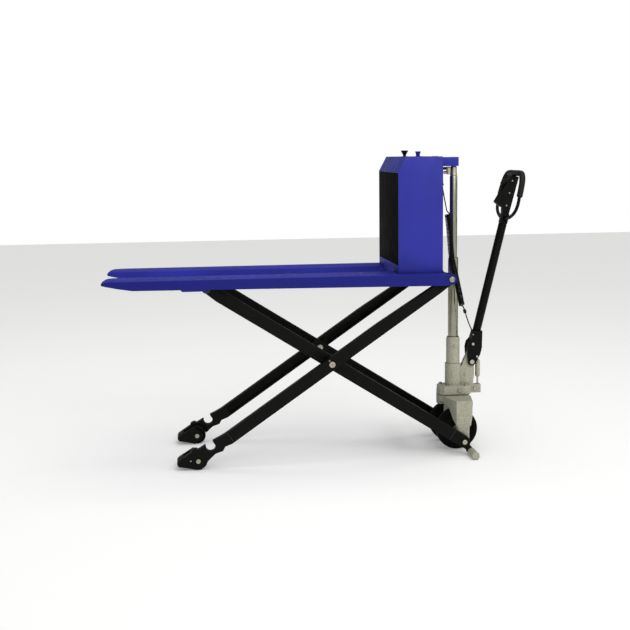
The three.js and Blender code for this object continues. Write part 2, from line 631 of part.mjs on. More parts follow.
const coverSide = [
  [COVER_FRONT, COVER_BASE], [COVER_REAR, COVER_BASE], [COVER_REAR, COVER_TOP - 4],
  [COVER_REAR - 4, COVER_TOP], [CHAMFER_X, COVER_TOP], [COVER_FRONT, CHAMFER_Z],
];
const coverInside = [
  [COVER_FRONT + COVER_SHEET, 700], [COVER_REAR - COVER_SHEET, 700],
  [COVER_REAR - COVER_SHEET, COVER_TOP - COVER_SHEET], [CHAMFER_X + 1.5, COVER_TOP - COVER_SHEET],
  [COVER_FRONT + COVER_SHEET, CHAMFER_Z - 1.5],
];
const KNOB = { x: -232, y: -96 };
const SELECTOR = { x: -176.5, y: -96 };
const GLAND = { x: -66, y: -50, z: 1128 };
const TUBE_Z = [1164, 1181];
const cover = cut(
  union(
    slab(coverSide, -COVER_HALF_WIDTH, COVER_HALF_WIDTH),
    rodX(GLAND.y, GLAND.z, COVER_REAR - 1, GLAND.x, 5),
    rodZ(GLAND.x, GLAND.y, GLAND.z - 9, GLAND.z + 6, 5.5, 16),
  ),
  slab(coverInside, -COVER_HALF_WIDTH + COVER_SHEET, COVER_HALF_WIDTH - COVER_SHEET),
  box(COVER_FRONT - 5, COVER_FRONT + 5, -COVER_HALF_WIDTH + COVER_SHEET, COVER_HALF_WIDTH - COVER_SHEET,
    PANEL_Z[0], PANEL_Z[1]),
  rodZ(KNOB.x, KNOB.y, 1200, 1260, 6 + GAP, 20),
  rodZ(SELECTOR.x, SELECTOR.y, 1200, 1260, 8 + GAP, 20),
  ...TUBE_Z.map((z) => rodX(0, z, -120, -90, 5.6 + GAP)),
  archInside,
);
place(carriage, 'cover', 'blue', cover);
place(carriage, 'front_panel', 'casing', box(
  COVER_FRONT, COVER_FRONT + 4, -COVER_HALF_WIDTH + COVER_SHEET + GAP, COVER_HALF_WIDTH - COVER_SHEET - GAP,
  PANEL_Z[0] + GAP, PANEL_Z[1] - GAP,
));

const CROSSHEAD_END = 10;
const crosshead = cut(
  plan([
    [COVER_REAR + GAP, -36], [3, -36], [CROSSHEAD_END, -29], [CROSSHEAD_END, 29], [3, 36],
    [COVER_REAR + GAP, 36],
  ], 1190.5, COVER_TOP - 4),
  rodZ(MAST_X, 0, 1180, 1198, 10 + GAP, 28),
);
place(carriage, 'crosshead', 'blue', crosshead);

const HEAD_BORE_R = 11.5;
const mastHead = turned(MAST_X, 0, [
  [HEAD_BORE_R, HEAD_FOOT_Z], [15, HEAD_FOOT_Z], [15, 1158], [13.5, 1160], [13.5, 1187], [10, 1189],
  [10, 1197], [0.001, 1197], [0.001, 1176], [HEAD_BORE_R, 1176],
], 28);
place(carriage, 'mast_head', 'zinc', mastHead);

place(carriage, 'oil_tubes', 'zinc', union(
  ...TUBE_Z.map((z) => rodX(0, z, -116, -24, 5)),
  box(-34, MAST_X - 15 - GAP, -11, 11, 1156, 1188),
));

place(carriage, 'stop_knob', 'casing', turned(KNOB.x, KNOB.y, [
  [0.001, 1222], [6, 1222], [6, 1237], [7, 1240], [14.5, 1254], [14.5, 1257], [0.001, 1257],
], 28));
place(carriage, 'selector_knob', 'blue', turned(SELECTOR.x, SELECTOR.y, [
  [0.001, 1222], [8, 1222], [8, 1240], [11.4, 1251], [11.4, 1253], [0.001, 1253],
], 28));

pair(carriage, 'battery', 'casing', box(-275, -142, 12, 210, FORK_TOP + 1, 944));
place(carriage, 'power_unit', 'casing', union(
  box(-240, -150, -62, 62, 944.5, 990),
  rodZ(-196, -14, 985, 1140, 42, 28),
));
place(carriage, 'oil_tank', 'tank', box(-256, -124, 70, 208, 944.5, 1090));
place(carriage, 'controller', 'casing', box(-256, -140, -206, -80, 944.5, 1046));

// ---------------------------------------------------------------- cord from the cover to the handle
const CORD_R = 2.5;
const COIL_R = 13;
const GLAND_MOUTH = GLAND.z - 9;
const upperLead = [
  [GLAND.x, GLAND.y, GLAND_MOUTH - GAP], [-64.6, -50.3, 1110], [-61.5, -51.5, 1090], [-56.5, -54, 1060],
  [-52, -56.8, 1034], [-49, -58.5, 1015.2],
];
place(group, 'cord_lead_upper', 'rubber', swept(upperLead, CORD_R, 10, 8));
const coilRoute = [
  [-49, -70, 1014], [-41, -70, 949], [-35, -70, 887], [-28, -70, 812], [-12, -70, 740], [2, -70, 677],
  [14, -69, 622], [21, -67, 594],
];
place(group, 'cord_coil', 'rubber', swept(coilRoute, COIL_R, 26, 12));
const lowerLead = [
  [29, -62, 592], [38, -54, 564], [51, -43, 534], [65, -33, 508], [73.5, -27, 497], [75, -26, 487],
];
place(group, 'cord_lead_lower', 'rubber', swept(lowerLead, CORD_R, 12, 8));

export default group;
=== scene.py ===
import json
import math

import bmesh
import bpy
from mathutils import Matrix, Vector

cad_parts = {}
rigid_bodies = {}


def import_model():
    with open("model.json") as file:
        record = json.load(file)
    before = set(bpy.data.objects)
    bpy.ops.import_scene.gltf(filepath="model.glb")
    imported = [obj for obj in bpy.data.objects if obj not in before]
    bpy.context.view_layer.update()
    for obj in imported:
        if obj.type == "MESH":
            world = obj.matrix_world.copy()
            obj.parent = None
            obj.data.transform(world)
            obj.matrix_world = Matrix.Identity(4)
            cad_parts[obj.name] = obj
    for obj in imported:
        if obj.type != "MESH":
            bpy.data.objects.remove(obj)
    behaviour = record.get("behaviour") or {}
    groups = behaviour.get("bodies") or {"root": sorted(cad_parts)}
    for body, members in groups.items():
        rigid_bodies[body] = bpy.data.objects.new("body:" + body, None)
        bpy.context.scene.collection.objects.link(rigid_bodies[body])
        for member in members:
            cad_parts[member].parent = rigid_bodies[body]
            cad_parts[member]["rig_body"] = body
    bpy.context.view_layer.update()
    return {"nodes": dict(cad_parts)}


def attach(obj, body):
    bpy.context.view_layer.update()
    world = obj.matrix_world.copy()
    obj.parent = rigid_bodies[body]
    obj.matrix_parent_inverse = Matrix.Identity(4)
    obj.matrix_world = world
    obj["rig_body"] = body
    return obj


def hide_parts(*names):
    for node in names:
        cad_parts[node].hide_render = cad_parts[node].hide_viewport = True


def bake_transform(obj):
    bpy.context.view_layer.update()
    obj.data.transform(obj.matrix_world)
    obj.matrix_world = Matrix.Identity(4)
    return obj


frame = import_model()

scene = bpy.context.scene
scene.view_settings.view_transform = "Standard"


# ------------------------------------------------------------------ driving dimensions and places
SHIFT_X = 0.5929                      # from the middle of the length to the arms' rear pin
LIFT = math.radians(32.5)             # slope of the inner arms, raised as in the photo
BELOW_CROSS = 0.660                   # length of the arms below and above their crossing
ABOVE_CROSS = 0.5865
INNER_ARM = BELOW_CROSS + ABOVE_CROSS
REAR_PIN_Z = 0.0575
FOOT_Z = 0.0375
CROSS = (-BELOW_CROSS * math.cos(LIFT), REAR_PIN_Z + BELOW_CROSS * math.sin(LIFT))
SPREAD = math.asin((CROSS[1] - FOOT_Z) / BELOW_CROSS)       # slope of the outer arms
FOOT = (CROSS[0] - BELOW_CROSS * math.cos(SPREAD), FOOT_Z)
LUG = (CROSS[0] + ABOVE_CROSS * math.cos(SPREAD), CROSS[1] + ABOVE_CROSS * math.sin(SPREAD))
TRACK = (-INNER_ARM * math.cos(LIFT), REAR_PIN_Z + INNER_ARM * math.sin(LIFT))
LEAN = math.radians(13.6)             # lean of the handle's shaft, from upright
SHAFT_FOOT = (0.093, 0.472)
MAST_X = -0.005
AXLE_Z = 0.087
INNER_SIDE_Y = 0.2001                 # outward faces of the inner and the outer arms
OUTER_SIDE_Y = 0.2500
ROD_R = 0.0068                        # radius of the handle's loop and of the grip on it
GRIP_R = 0.0123
RIB = 0.00035                         # height of the grip's ribs
PLUG_Z = 0.243                        # height of the plugs in the pump casting's side


def at(x, y, z):
    """A point given from the arms' rear pin line, in the row frame."""
    return Vector((x + SHIFT_X, y, z))


def on_inner(x, y, z):
    """A point given in the frame of the inner arms."""
    return at(x * math.cos(LIFT) + z * math.sin(LIFT), y,
              REAR_PIN_Z - x * math.sin(LIFT) + z * math.cos(LIFT))


def on_outer(x, y, z):
    """A point given in the frame of the outer arms."""
    return at(FOOT[0] + x * math.cos(SPREAD) - z * math.sin(SPREAD), y,
              FOOT[1] + x * math.sin(SPREAD) + z * math.cos(SPREAD))


def on_shaft(u, y, s):
    """A point given along (s) and square to (u) the handle's shaft."""
    return at(SHAFT_FOOT[0] + u * math.cos(LEAN) + s * math.sin(LEAN), y,
              SHAFT_FOOT[1] - u * math.sin(LEAN) + s * math.cos(LEAN))


# ------------------------------------------------------------------ camera
CAMERA_PLACE = (-0.531, -4.665, 1.249)
CAMERA_YAW = math.radians(6.462)      # from +Y towards +X
CAMERA_PITCH = math.radians(8.123)    # downwards
CAMERA_ROLL = math.radians(-0.735)
CAMERA_LENS = 64.62
CAMERA_SENSOR = 36.0


def make_camera():
    forward = Vector((
        math.sin(CAMERA_YAW) * math.cos(CAMERA_PITCH),
        math.cos(CAMERA_YAW) * math.cos(CAMERA_PITCH),
        -math.sin(CAMERA_PITCH),
    ))
    level = Vector((math.cos(CAMERA_YAW), -math.sin(CAMERA_YAW), 0.0))
    upright = level.cross(forward)
    right = level * math.cos(CAMERA_ROLL) + upright * math.sin(CAMERA_ROLL)
    up = upright * math.cos(CAMERA_ROLL) - level * math.sin(CAMERA_ROLL)
    data = bpy.data.cameras.new("camera")
    data.lens = CAMERA_LENS
    data.sensor_width = CAMERA_SENSOR
    camera = bpy.data.objects.new("camera", data)
    turn = Matrix((right, up, -forward)).transposed().to_4x4()
    camera.matrix_world = Matrix.Translation(CAMERA_PLACE) @ turn
    scene.collection.objects.link(camera)
    scene.camera = camera


make_camera()


# ------------------------------------------------------------------ materials
def srgb(red, green, blue):
    """Linear RGBA of an 8-bit screen colour."""
    def linear(value):
        value /= 255.0
        return value / 12.92 if value <= 0.04045 else ((value + 0.055) / 1.055) ** 2.4
    return (linear(red), linear(green), linear(blue), 1.0)


def scaled(colour, factor):
    return tuple(min(1.0, channel * factor) for channel in colour[:3]) + (1.0,)


MIX_FACTOR = 0              # sockets of the Mix node, which share their names
MIX_NUMBERS = (2, 3)
MIX_NUMBER_OUT = 0
MIX_COLOURS = (6, 7)
MIX_COLOUR_OUT = 2


class Graph:
    """A Principled material with short calls for the nodes that feed it."""

    def __init__(self, name, colour, roughness, metallic=0.0):
        self.material = bpy.data.materials.new(name)
        self.material.use_nodes = True
        self.nodes = self.material.node_tree.nodes
        self.links = self.material.node_tree.links
        self.shader = self.nodes["Principled BSDF"]
        self.shader.inputs["Base Color"].default_value = colour
        self.shader.inputs["Roughness"].default_value = roughness
        self.shader.inputs["Metallic"].default_value = metallic
        self.place = self.nodes.new("ShaderNodeTexCoord").outputs["Object"]

    def feed(self, source, socket):
        if isinstance(source, bpy.types.NodeSocket):
            self.links.new(source, socket)
        else:
            socket.default_value = source

    def to_shader(self, source, name):
        self.links.new(source, self.shader.inputs[name])

    def noise(self, scale, detail, stretch=(1.0, 1.0, 1.0)):
        mapping = self.nodes.new("ShaderNodeMapping")
        mapping.inputs["Scale"].default_value = stretch
        self.links.new(self.place, mapping.inputs["Vector"])
        texture = self.nodes.new("ShaderNodeTexNoise")
        texture.inputs["Scale"].default_value = scale
        texture.inputs["Detail"].default_value = detail
        self.links.new(mapping.outputs["Vector"], texture.inputs["Vector"])
        return texture.outputs["Fac"]

    def ramp(self, value, low, high, out_low=0.0, out_high=1.0):
        remap = self.nodes.new("ShaderNodeMapRange")
        remap.interpolation_type = "SMOOTHSTEP"
        remap.inputs["From Min"].default_value = low
        remap.inputs["From Max"].default_value = high
        remap.inputs["To Min"].default_value = out_low
        remap.inputs["To Max"].default_value = out_high
        self.links.new(value, remap.inputs["Value"])
        return remap.outputs["Result"]

    def math(self, operation, first, second):
        step = self.nodes.new("ShaderNodeMath")
        step.operation = operation
        self.feed(first, step.inputs[0])
        self.feed(second, step.inputs[1])
        return step.outputs["Value"]

    def mix(self, factor, first, second):
        blend = self.nodes.new("ShaderNodeMix")
        blend.data_type = "RGBA"
        self.feed(factor, blend.inputs[MIX_FACTOR])
        self.feed(first, blend.inputs[MIX_COLOURS[0]])
        self.feed(second, blend.inputs[MIX_COLOURS[1]])
        return blend.outputs[MIX_COLOUR_OUT]

    def edges(self, radius):
        """1 along outward edges, 0 on the flats."""
        rounded = self.nodes.new("ShaderNodeBevel")
        rounded.samples = 4
        rounded.inputs["Radius"].default_value = radius
        facing = self.nodes.new("ShaderNodeNewGeometry").outputs["Normal"]
        product = self.nodes.new("ShaderNodeVectorMath")
        product.operation = "DOT_PRODUCT"
        self.links.new(rounded.outputs["Normal"], product.inputs[0])
        self.links.new(facing, product.inputs[1])
        return self.ramp(product.outputs["Value"], 0.985, 0.86)

    def hollows(self, distance):
        """1 in corners and gaps, 0 in the open."""
        shade = self.nodes.new("ShaderNodeAmbientOcclusion")
        shade.samples = 4
        shade.inputs["Distance"].default_value = distance
        return self.ramp(shade.outputs["AO"], 0.95, 0.35)

    def facing(self):
        """The surface's direction, split into X, Y and Z."""
        parts = self.nodes.new("ShaderNodeSeparateXYZ")
        normal = self.nodes.new("ShaderNodeNewGeometry").outputs["Normal"]
        self.links.new(normal, parts.inputs["Vector"])
        return parts

    def upward(self):
        """1 on faces that look up."""
        return self.ramp(self.facing().outputs["Z"], 0.6, 0.98)

    def outward(self):
        """1 on faces that look away from the truck's middle plane: mask of painted side shade."""
        facing = self.facing()
        placed = self.nodes.new("ShaderNodeSeparateXYZ")
        self.links.new(self.place, placed.inputs["Vector"])
        side = self.math("SIGN", placed.outputs["Y"], 0.0)
        return self.ramp(self.math("MULTIPLY", facing.outputs["Y"], side), 0.3, 0.8)

    def bump(self, height, strength, distance, under=None):
        relief = self.nodes.new("ShaderNodeBump")
        relief.inputs["Strength"].default_value = strength
        relief.inputs["Distance"].default_value = distance
        self.links.new(height, relief.inputs["Height"])
        if under is not None:
            self.links.new(under, relief.inputs["Normal"])
        return relief.outputs["Normal"]


SPOTS = 240.0               # scale of the fine spots on cast surfaces
SETTLED_DUST = srgb(150, 148, 140)


def painted(name, colour, wear_and_highlight, roughness, grain, depth, chips_and_highlight, hollow_shade, dust, gloss=0.5,
            speckle=0.0, outer=1.0):
    """Painted, cast or moulded surface: fine grain, lighter edges for wear and a painted
    highlight, painted shade in corners and gaps, dust on top.

    speckle is the contrast of fine spots, and outer is the tone of the painted shade on the faces
    that look away from the truck's middle plane.
    """
    g = Graph(name, colour, roughness)
    g.shader.inputs["Specular IOR Level"].default_value = gloss
    cloud = g.noise(5.0, 4.0)
    tint = g.mix(g.ramp(cloud, 0.3, 0.7), scaled(colour, 0.9), scaled(colour, 1.1))
    # painted shade: faces that look away from the middle plane are darkened to the outer tone
    if outer != 1.0:
        tint = g.mix(g.outward(), tint, scaled(colour, outer))
    if speckle:
        spots = g.mix(g.ramp(g.noise(SPOTS, 4.0), 0.36, 0.64), scaled(colour, 1 - speckle),
                      scaled(colour, 1 + speckle))
        tint = g.mix(0.7, tint, spots)
    # painted shade in corners and gaps, from ambient occlusion, mottled by noise
    hollow_shade_and_stain = g.math("MULTIPLY", g.hollows(0.016),
                    g.ramp(g.noise(70.0, 3.0), 0.25, 0.65, 0.35, 0.9))
    tint = g.mix(hollow_shade_and_stain, tint, hollow_shade)
    settled = g.math("MULTIPLY", g.upward(), g.ramp(g.noise(26.0, 5.0), 0.35, 0.75, 0.0, dust))
    tint = g.mix(settled, tint, SETTLED_DUST)
    # lighter paint along edges: wear chips, which also paint a highlight along the edges
    edge_wear_and_highlight = g.math("MULTIPLY", g.edges(0.0016),
                    g.ramp(g.noise(160.0, 4.0), 0.62 - 0.22 * chips_and_highlight, 0.72))
    tint = g.mix(g.math("MULTIPLY", edge_wear_and_highlight, 0.85 * chips_and_highlight + 0.1), tint, wear_and_highlight)
    g.to_shader(tint, "Base Color")
    rub = g.noise(38.0, 5.0, (1.0, 1.0, 0.35))
    g.to_shader(g.ramp(rub, 0.3, 0.7, roughness - 0.07, roughness + 0.09), "Roughness")
    fine = g.bump(g.noise(grain, 2.0), 0.35, depth)
    g.to_shader(g.bump(g.noise(grain * 0.09, 3.0), 0.2, depth * 3.0, fine), "Normal")
    return g.material


def bare_metal(name, colour, roughness, streak, stain=None):
    """Turned, plated or chromed metal with fine marks along the streak direction."""
    g = Graph(name, colour, roughness, 1.0)
    marks = g.noise(300.0, 3.0, streak)
    cloud = g.noise(18.0, 4.0)
    tint = g.mix(g.ramp(cloud, 0.3, 0.7), scaled(colour, 0.86), scaled(colour, 1.08))
    if stain is not None:
        hollow_shade_and_stain = g.math("MULTIPLY", g.hollows(0.008),
                        g.ramp(g.noise(120.0, 3.0), 0.3, 0.7, 0.3, 0.85))
        tint = g.mix(hollow_shade_and_stain, tint, stain)
    g.to_shader(tint, "Base Color")
    g.to_shader(g.ramp(marks, 0.3, 0.7, roughness * 0.7, roughness * 1.5), "Roughness")
    g.to_shader(g.bump(marks, 0.12, 0.00004), "Normal")
    return g.material


# In each painted() material below, the third argument is the edge colour for wear and a painted
# edge highlight, and the colour after the chips' amount is the painted shade in corners and gaps.
BLUE_TONE = srgb(42, 46, 146)
BLUE = painted("blue_paint", BLUE_TONE, srgb(96, 100, 170), 0.44, 900.0, 0.00010, 0.3,
               srgb(24, 26, 80), 0.02, 0.18)
# the blue with painted shade on the forks' outer side faces
FORK_BLUE_SIDE_SHADE = painted("fork_paint_side_shade", BLUE_TONE, srgb(92, 96, 168), 0.5, 900.0, 0.00010, 0.25,
                    srgb(24, 26, 80), 0.01, 0.07, outer=0.6)
BLACK = painted("black_paint", srgb(9, 9, 6), srgb(54, 52, 43), 0.5, 1100.0, 0.0001, 0.3,
                srgb(5, 5, 4), 0.03, 0.09)
GREY = painted("grey_casting", srgb(160, 158, 140), srgb(192, 191, 180), 0.5, 420.0, 0.0005, 0.5,
               srgb(66, 62, 46), 0.08, 0.3, speckle=0.3)
WELD = painted("painted_weld", srgb(38, 38, 32), srgb(84, 82, 72), 0.4, 800.0, 0.0002, 0.5,
               srgb(10, 10, 8), 0.04, 0.3)
CASING = painted("black_casing", srgb(17, 17, 14), srgb(54, 54, 46), 0.6, 1500.0, 0.0001, 0.3,
                 srgb(8, 8, 6), 0.04, 0.08)
PANEL = painted("panel_sheet", srgb(13, 13, 12), srgb(36, 36, 32), 0.75, 800.0, 0.0001, 0.2,
                srgb(6, 6, 5), 0.02, 0.03)
RUBBER = painted("black_rubber", srgb(14, 14, 12), srgb(40, 39, 36), 0.46, 700.0, 0.00015, 0.3,
                 srgb(9, 9, 8), 0.06, 0.2)
TYRE = painted("black_tyre", srgb(9, 9, 8), srgb(30, 29, 26), 0.7, 500.0, 0.0002, 0.3,
               srgb(8, 8, 7), 0.06, 0.06)
CORD = painted("cord_sheath", srgb(11, 11, 9), srgb(30, 30, 27), 0.55, 1200.0, 0.00006, 0.1,
               srgb(5, 5, 5), 0.03, 0.1)
TANK = painted("tank_plastic", srgb(196, 190, 168), srgb(214, 210, 194), 0.5, 600.0, 0.0002, 0.2,
               srgb(120, 112, 90), 0.2)
CHROME = bare_metal("hard_chrome", srgb(150, 149, 132), 0.2, (1.0, 1.0, 0.03))
ZINC = bare_metal("zinc_plate", srgb(178, 174, 156), 0.34, (1.0, 0.06, 1.0), srgb(70, 64, 50))
ROLLER_STEEL = bare_metal("roller_steel", srgb(62, 60, 52), 0.5, (1.0, 0.06, 1.0),
                          srgb(30, 28, 22))

SLOTS = {
    "blue": (BLUE, ["base_frame", "cover", "crosshead", "selector_knob"]),
    "black": (BLACK, ["inner_arm_left", "inner_arm_right", "inner_tie_bar", "outer_arm_left",
                      "outer_arm_right", "handle_bracket", "handle_shaft", "loop_yoke",
                      "loop_rod_left", "loop_rod_right"]),
    "grey": (GREY, ["saddle_frame", "pump_casting", "mast_barrel", "stabiliser_left",
                    "stabiliser_right", "release_valve"]),
    "chrome": (CHROME, ["mast_stage", "mast_piston", "pump_plunger"]),
    "zinc": (ZINC, ["rear_pin_left", "rear_pin_right", "steer_axle", "handle_pin", "pump_roller",
                    "cross_pin_left", "cross_pin_right", "track_roller_left", "track_roller_right",
                    "front_roller_pin_left", "front_roller_pin_right", "lug_bolt_left",
                    "lug_bolt_right", "mast_head", "oil_tubes"]),
    "casing": (CASING, ["steer_wheel_hub_left", "steer_wheel_hub_right", "control_head",
                        "release_lever", "stop_knob", "battery_left", "battery_right",
                        "power_unit", "controller"]),
    "rubber": (RUBBER, ["loop_grip", "lift_rocker"]),
    "tyre": (TYRE, ["steer_wheel_tyre_left", "steer_wheel_tyre_right", "front_roller_left",
                    "front_roller_right"]),
    "panel": (PANEL, ["front_panel"]),
    "tank": (TANK, ["oil_tank"]),
}
MATERIAL_OF = {node: material for material, nodes in SLOTS.values() for node in nodes}
MATERIAL_OF["fork_left"] = FORK_BLUE_SIDE_SHADE
MATERIAL_OF["fork_right"] = FORK_BLUE_SIDE_SHADE
SLOT_OF = {entry[0].name: slot for slot, entry in SLOTS.items()}
SLOT_OF[WELD.name] = "black"


# ------------------------------------------------------------------ mesh helpers
SMOOTH_ANGLE = 38.0         # edges sharper than this stay sharp, in degrees
CAST_SMOOTH = 60.0
TURNED_SMOOTH = 30.0
HEX_SMOOTH = 20.0


def add_piece(name, vertices, faces, material, smooth_angle=SMOOTH_ANGLE):
    mesh = bpy.data.meshes.new(name)
    mesh.from_pydata([tuple(v) for v in vertices], [], faces)
    return add_mesh(name, mesh, material, smooth_angle)


def add_mesh(name, mesh, material, smooth_angle):
    mesh.shade_smooth()
    mesh.set_sharp_from_angle(angle=math.radians(smooth_angle))
    mesh.materials.clear()
    mesh.materials.append(material)
    piece = bpy.data.objects.new(name, mesh)
    scene.collection.objects.link(piece)
    return piece


def spline(points, per_span):
    """Smooth curve through the points, with per_span steps between neighbours."""
    points = [Vector(p) for p in points]
    ends = [2 * points[0] - points[1]] + points + [2 * points[-1] - points[-2]]
    path = []
    for i in range(1, len(ends) - 2):
        a, b, c, d = ends[i - 1:i + 3]
        for step in range(per_span):
            t = step / per_span
            path.append(0.5 * (2 * b + (c - a) * t + (2 * a - 5 * b + 4 * c - d) * t ** 2
                               + (3 * b - a - 3 * c + d) * t ** 3))
    path.append(points[-1])
    return path


def frames(path):
    """A steady pair of directions square to the path at each of its points."""
    result = []
    tangent = (path[1] - path[0]).normalized()
    side = tangent.orthogonal().normalized()
    for i in range(len(path)):
        ahead = path[min(i + 1, len(path) - 1)]
        behind = path[max(i - 1, 0)]
        turned = (ahead - behind).normalized()
        side = tangent.rotation_difference(turned) @ side
        side = (side - turned * side.dot(turned)).normalized()
        tangent = turned
        result.append((side, tangent.cross(side)))
    return result


def sleeve(rings, around):
    """Faces between neighbouring rings of vertices."""
    faces = []
    for i in range(rings - 1):
        for k in range(around):
            j = (k + 1) % around
            faces.append((i * around + k, i * around + j,
                          (i + 1) * around + j, (i + 1) * around + k))
    return faces


def caps(rings, around):
    """Faces that close the first and the last ring."""
    return [tuple(reversed(range(around))), tuple(range((rings - 1) * around, rings * around))]


def tube(name, path, radius, material, sides):
    """Closed round tube along a path; radius is a number or a function of the share along it."""
    vertices = []
    for i, (point, (side, other)) in enumerate(zip(path, frames(path))):
        r = radius(i / (len(path) - 1)) if callable(radius) else radius
        for k in range(sides):
            angle = 2 * math.pi * k / sides
            vertices.append(point + side * (r * math.cos(angle)) + other * (r * math.sin(angle)))
    faces = sleeve(len(path), sides) + caps(len(path), sides)
    return add_piece(name, vertices, faces, material)


# ------------------------------------------------------------------ cord, cover to handle
CORD_R = 0.0025
COIL_R = 0.0130
COIL_PITCH = 0.00556        # its last turn ends facing the lower lead
POINTS_PER_TURN = 16
EASE = 0.020                # bend radius with which the cord turns into and out of the coil
UPPER_LEAD = [(-0.066, -0.050, 1.1186), (-0.0646, -0.0503, 1.110), (-0.0615, -0.0515, 1.090),
              (-0.0565, -0.054, 1.060), (-0.052, -0.0568, 1.034), (-0.049, -0.0585, 1.0152)]
COIL_ROUTE = [(-0.049, -0.070, 1.014), (-0.041, -0.070, 0.949), (-0.035, -0.070, 0.887),
              (-0.028, -0.070, 0.812), (-0.012, -0.070, 0.740), (0.002, -0.070, 0.677),
              (0.014, -0.069, 0.622), (0.021, -0.067, 0.594)]
LOWER_LEAD = [(0.040, -0.054, 0.563), (0.052, -0.043, 0.534), (0.065, -0.033, 0.508),
              (0.0735, -0.027, 0.497), (0.075, -0.026, 0.487)]


def coil_points():
    """Turns of the curly part, eased out at both ends so that the cord never kinks."""
    axis = spline([at(*p) for p in COIL_ROUTE], 90)
    lengths = [0.0]
    for a, b in zip(axis, axis[1:]):
        lengths.append(lengths[-1] + (b - a).length)
    total = lengths[-1]
    sides = frames(axis)
    radius = COIL_R - CORD_R
    towards = at(*UPPER_LEAD[-1]) - axis[0]
    phase = math.atan2(towards.dot(sides[0][1]), towards.dot(sides[0][0]))
    full_rate = 2 * math.pi / COIL_PITCH
    points = []
    index = 0
    count = int(total * POINTS_PER_TURN / COIL_PITCH)
    for n in range(count + 1):
        u = total * n / count
        while index < len(axis) - 2 and lengths[index + 1] < u:
            index += 1
        share = (u - lengths[index]) / (lengths[index + 1] - lengths[index])
        centre = axis[index].lerp(axis[index + 1], share)
        side = sides[index][0].lerp(sides[index + 1][0], share)
        other = sides[index][1].lerp(sides[index + 1][1], share)
        points.append(centre + side * (radius * math.cos(phase))
                      + other * (radius * math.sin(phase)))
        near = min(u, total - u) / EASE
        rate = near / (radius * math.sqrt(1 - near ** 2)) if near < 0.999 else full_rate
        phase += min(rate, full_rate) * total / count
    return points


COIL = coil_points()
UPPER = spline([at(*p) for p in UPPER_LEAD[:-1]] + [COIL[0]], 8)
LOWER = spline([COIL[-1]] + [at(*p) for p in LOWER_LEAD], 6)
TAIL_START = 2              # point of LOWER that the sleeve on the coil's end covers
TAIL_END = 15               # point of LOWER just above the handle bracket's clamp


def make_cord():
    curly = UPPER[:-1] + COIL + LOWER[1:TAIL_START + 1]
    parts = [
        ("control_cord", curly, ("frame", "mast_piston"),
         (LOWER[TAIL_START], at(-0.066, -0.050, 1.100)), ["cord_lead_upper", "cord_coil"]),
        ("control_cord_tail", LOWER[TAIL_START:TAIL_END + 1], ("frame", "steering_column"),
         (LOWER[TAIL_START], LOWER[TAIL_END]), ["cord_lead_lower"]),
        ("control_cord_foot", LOWER[TAIL_END:], ("steering_column", "handle"),
         (LOWER[TAIL_END], LOWER[-1]), ["cord_lead_lower"]),
    ]
    for name, path, bodies, span, nodes in parts:
        piece = tube(name, path, CORD_R, CORD, 10)
        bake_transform(piece)
        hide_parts(*nodes)


make_cord()


# ------------------------------------------------------------------ finer skins of the CAD pieces
MERGE = 2e-6
FLAT_ANGLE = math.radians(0.6)        # facets that turn less than this are one flat
EDGE_ANGLE = math.radians(32)         # edges that turn more than this are rounded
EDGE_STEPS = 3


def stand_in(node, mesh, smooth_angle):
    """Shows the mesh in place of a CAD node, on the node's body."""
    piece = add_mesh(node + "_skin", mesh, MATERIAL_OF[node], smooth_angle)
    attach(piece, frame["nodes"][node]["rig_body"])
    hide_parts(node)


def skin(node, width):
    """A copy of a CAD piece with its flats merged and its edges rounded."""
    mesh = frame["nodes"][node].data.copy()
    worked = bmesh.new()
    worked.from_mesh(mesh)
    bmesh.ops.remove_doubles(worked, verts=worked.verts, dist=MERGE)
    bmesh.ops.dissolve_limit(worked, angle_limit=FLAT_ANGLE, verts=worked.verts,
                             edges=worked.edges)
    worked.to_mesh(mesh)
    worked.free()
    draft = bpy.data.objects.new("draft", mesh)
    scene.collection.objects.link(draft)
    rounding = draft.modifiers.new("edges", "BEVEL")
    rounding.width = width
    rounding.segments = EDGE_STEPS
    rounding.limit_method = "ANGLE"
    rounding.angle_limit = EDGE_ANGLE
    rounding.use_clamp_overlap = True
    shown = draft.evaluated_get(bpy.context.evaluated_depsgraph_get())
    finished = bpy.data.meshes.new_from_object(shown)
    bpy.data.objects.remove(draft)
    stand_in(node, finished, SMOOTH_ANGLE)


def block(low, high):
    """Plain cutter for a recess, given by two opposite corners."""
    mesh = bpy.data.meshes.new("cutter")
    corners = [tuple(at(x, y, z)) for z in (low[2], high[2]) for y in (low[1], high[1])
               for x in (low[0], high[0])]
    mesh.from_pydata(corners, [], [(0, 2, 3, 1), (4, 5, 7, 6), (0, 1, 5, 4), (2, 6, 7, 3),
                                   (0, 4, 6, 2), (1, 3, 7, 5)])
    cutter = bpy.data.objects.new("cutter", mesh)
    scene.collection.objects.link(cutter)
    return cutter


CAST_VOXEL = 0.0018
CAST_INSET = 0.00035        # takes back what the remeshing adds outside the solid


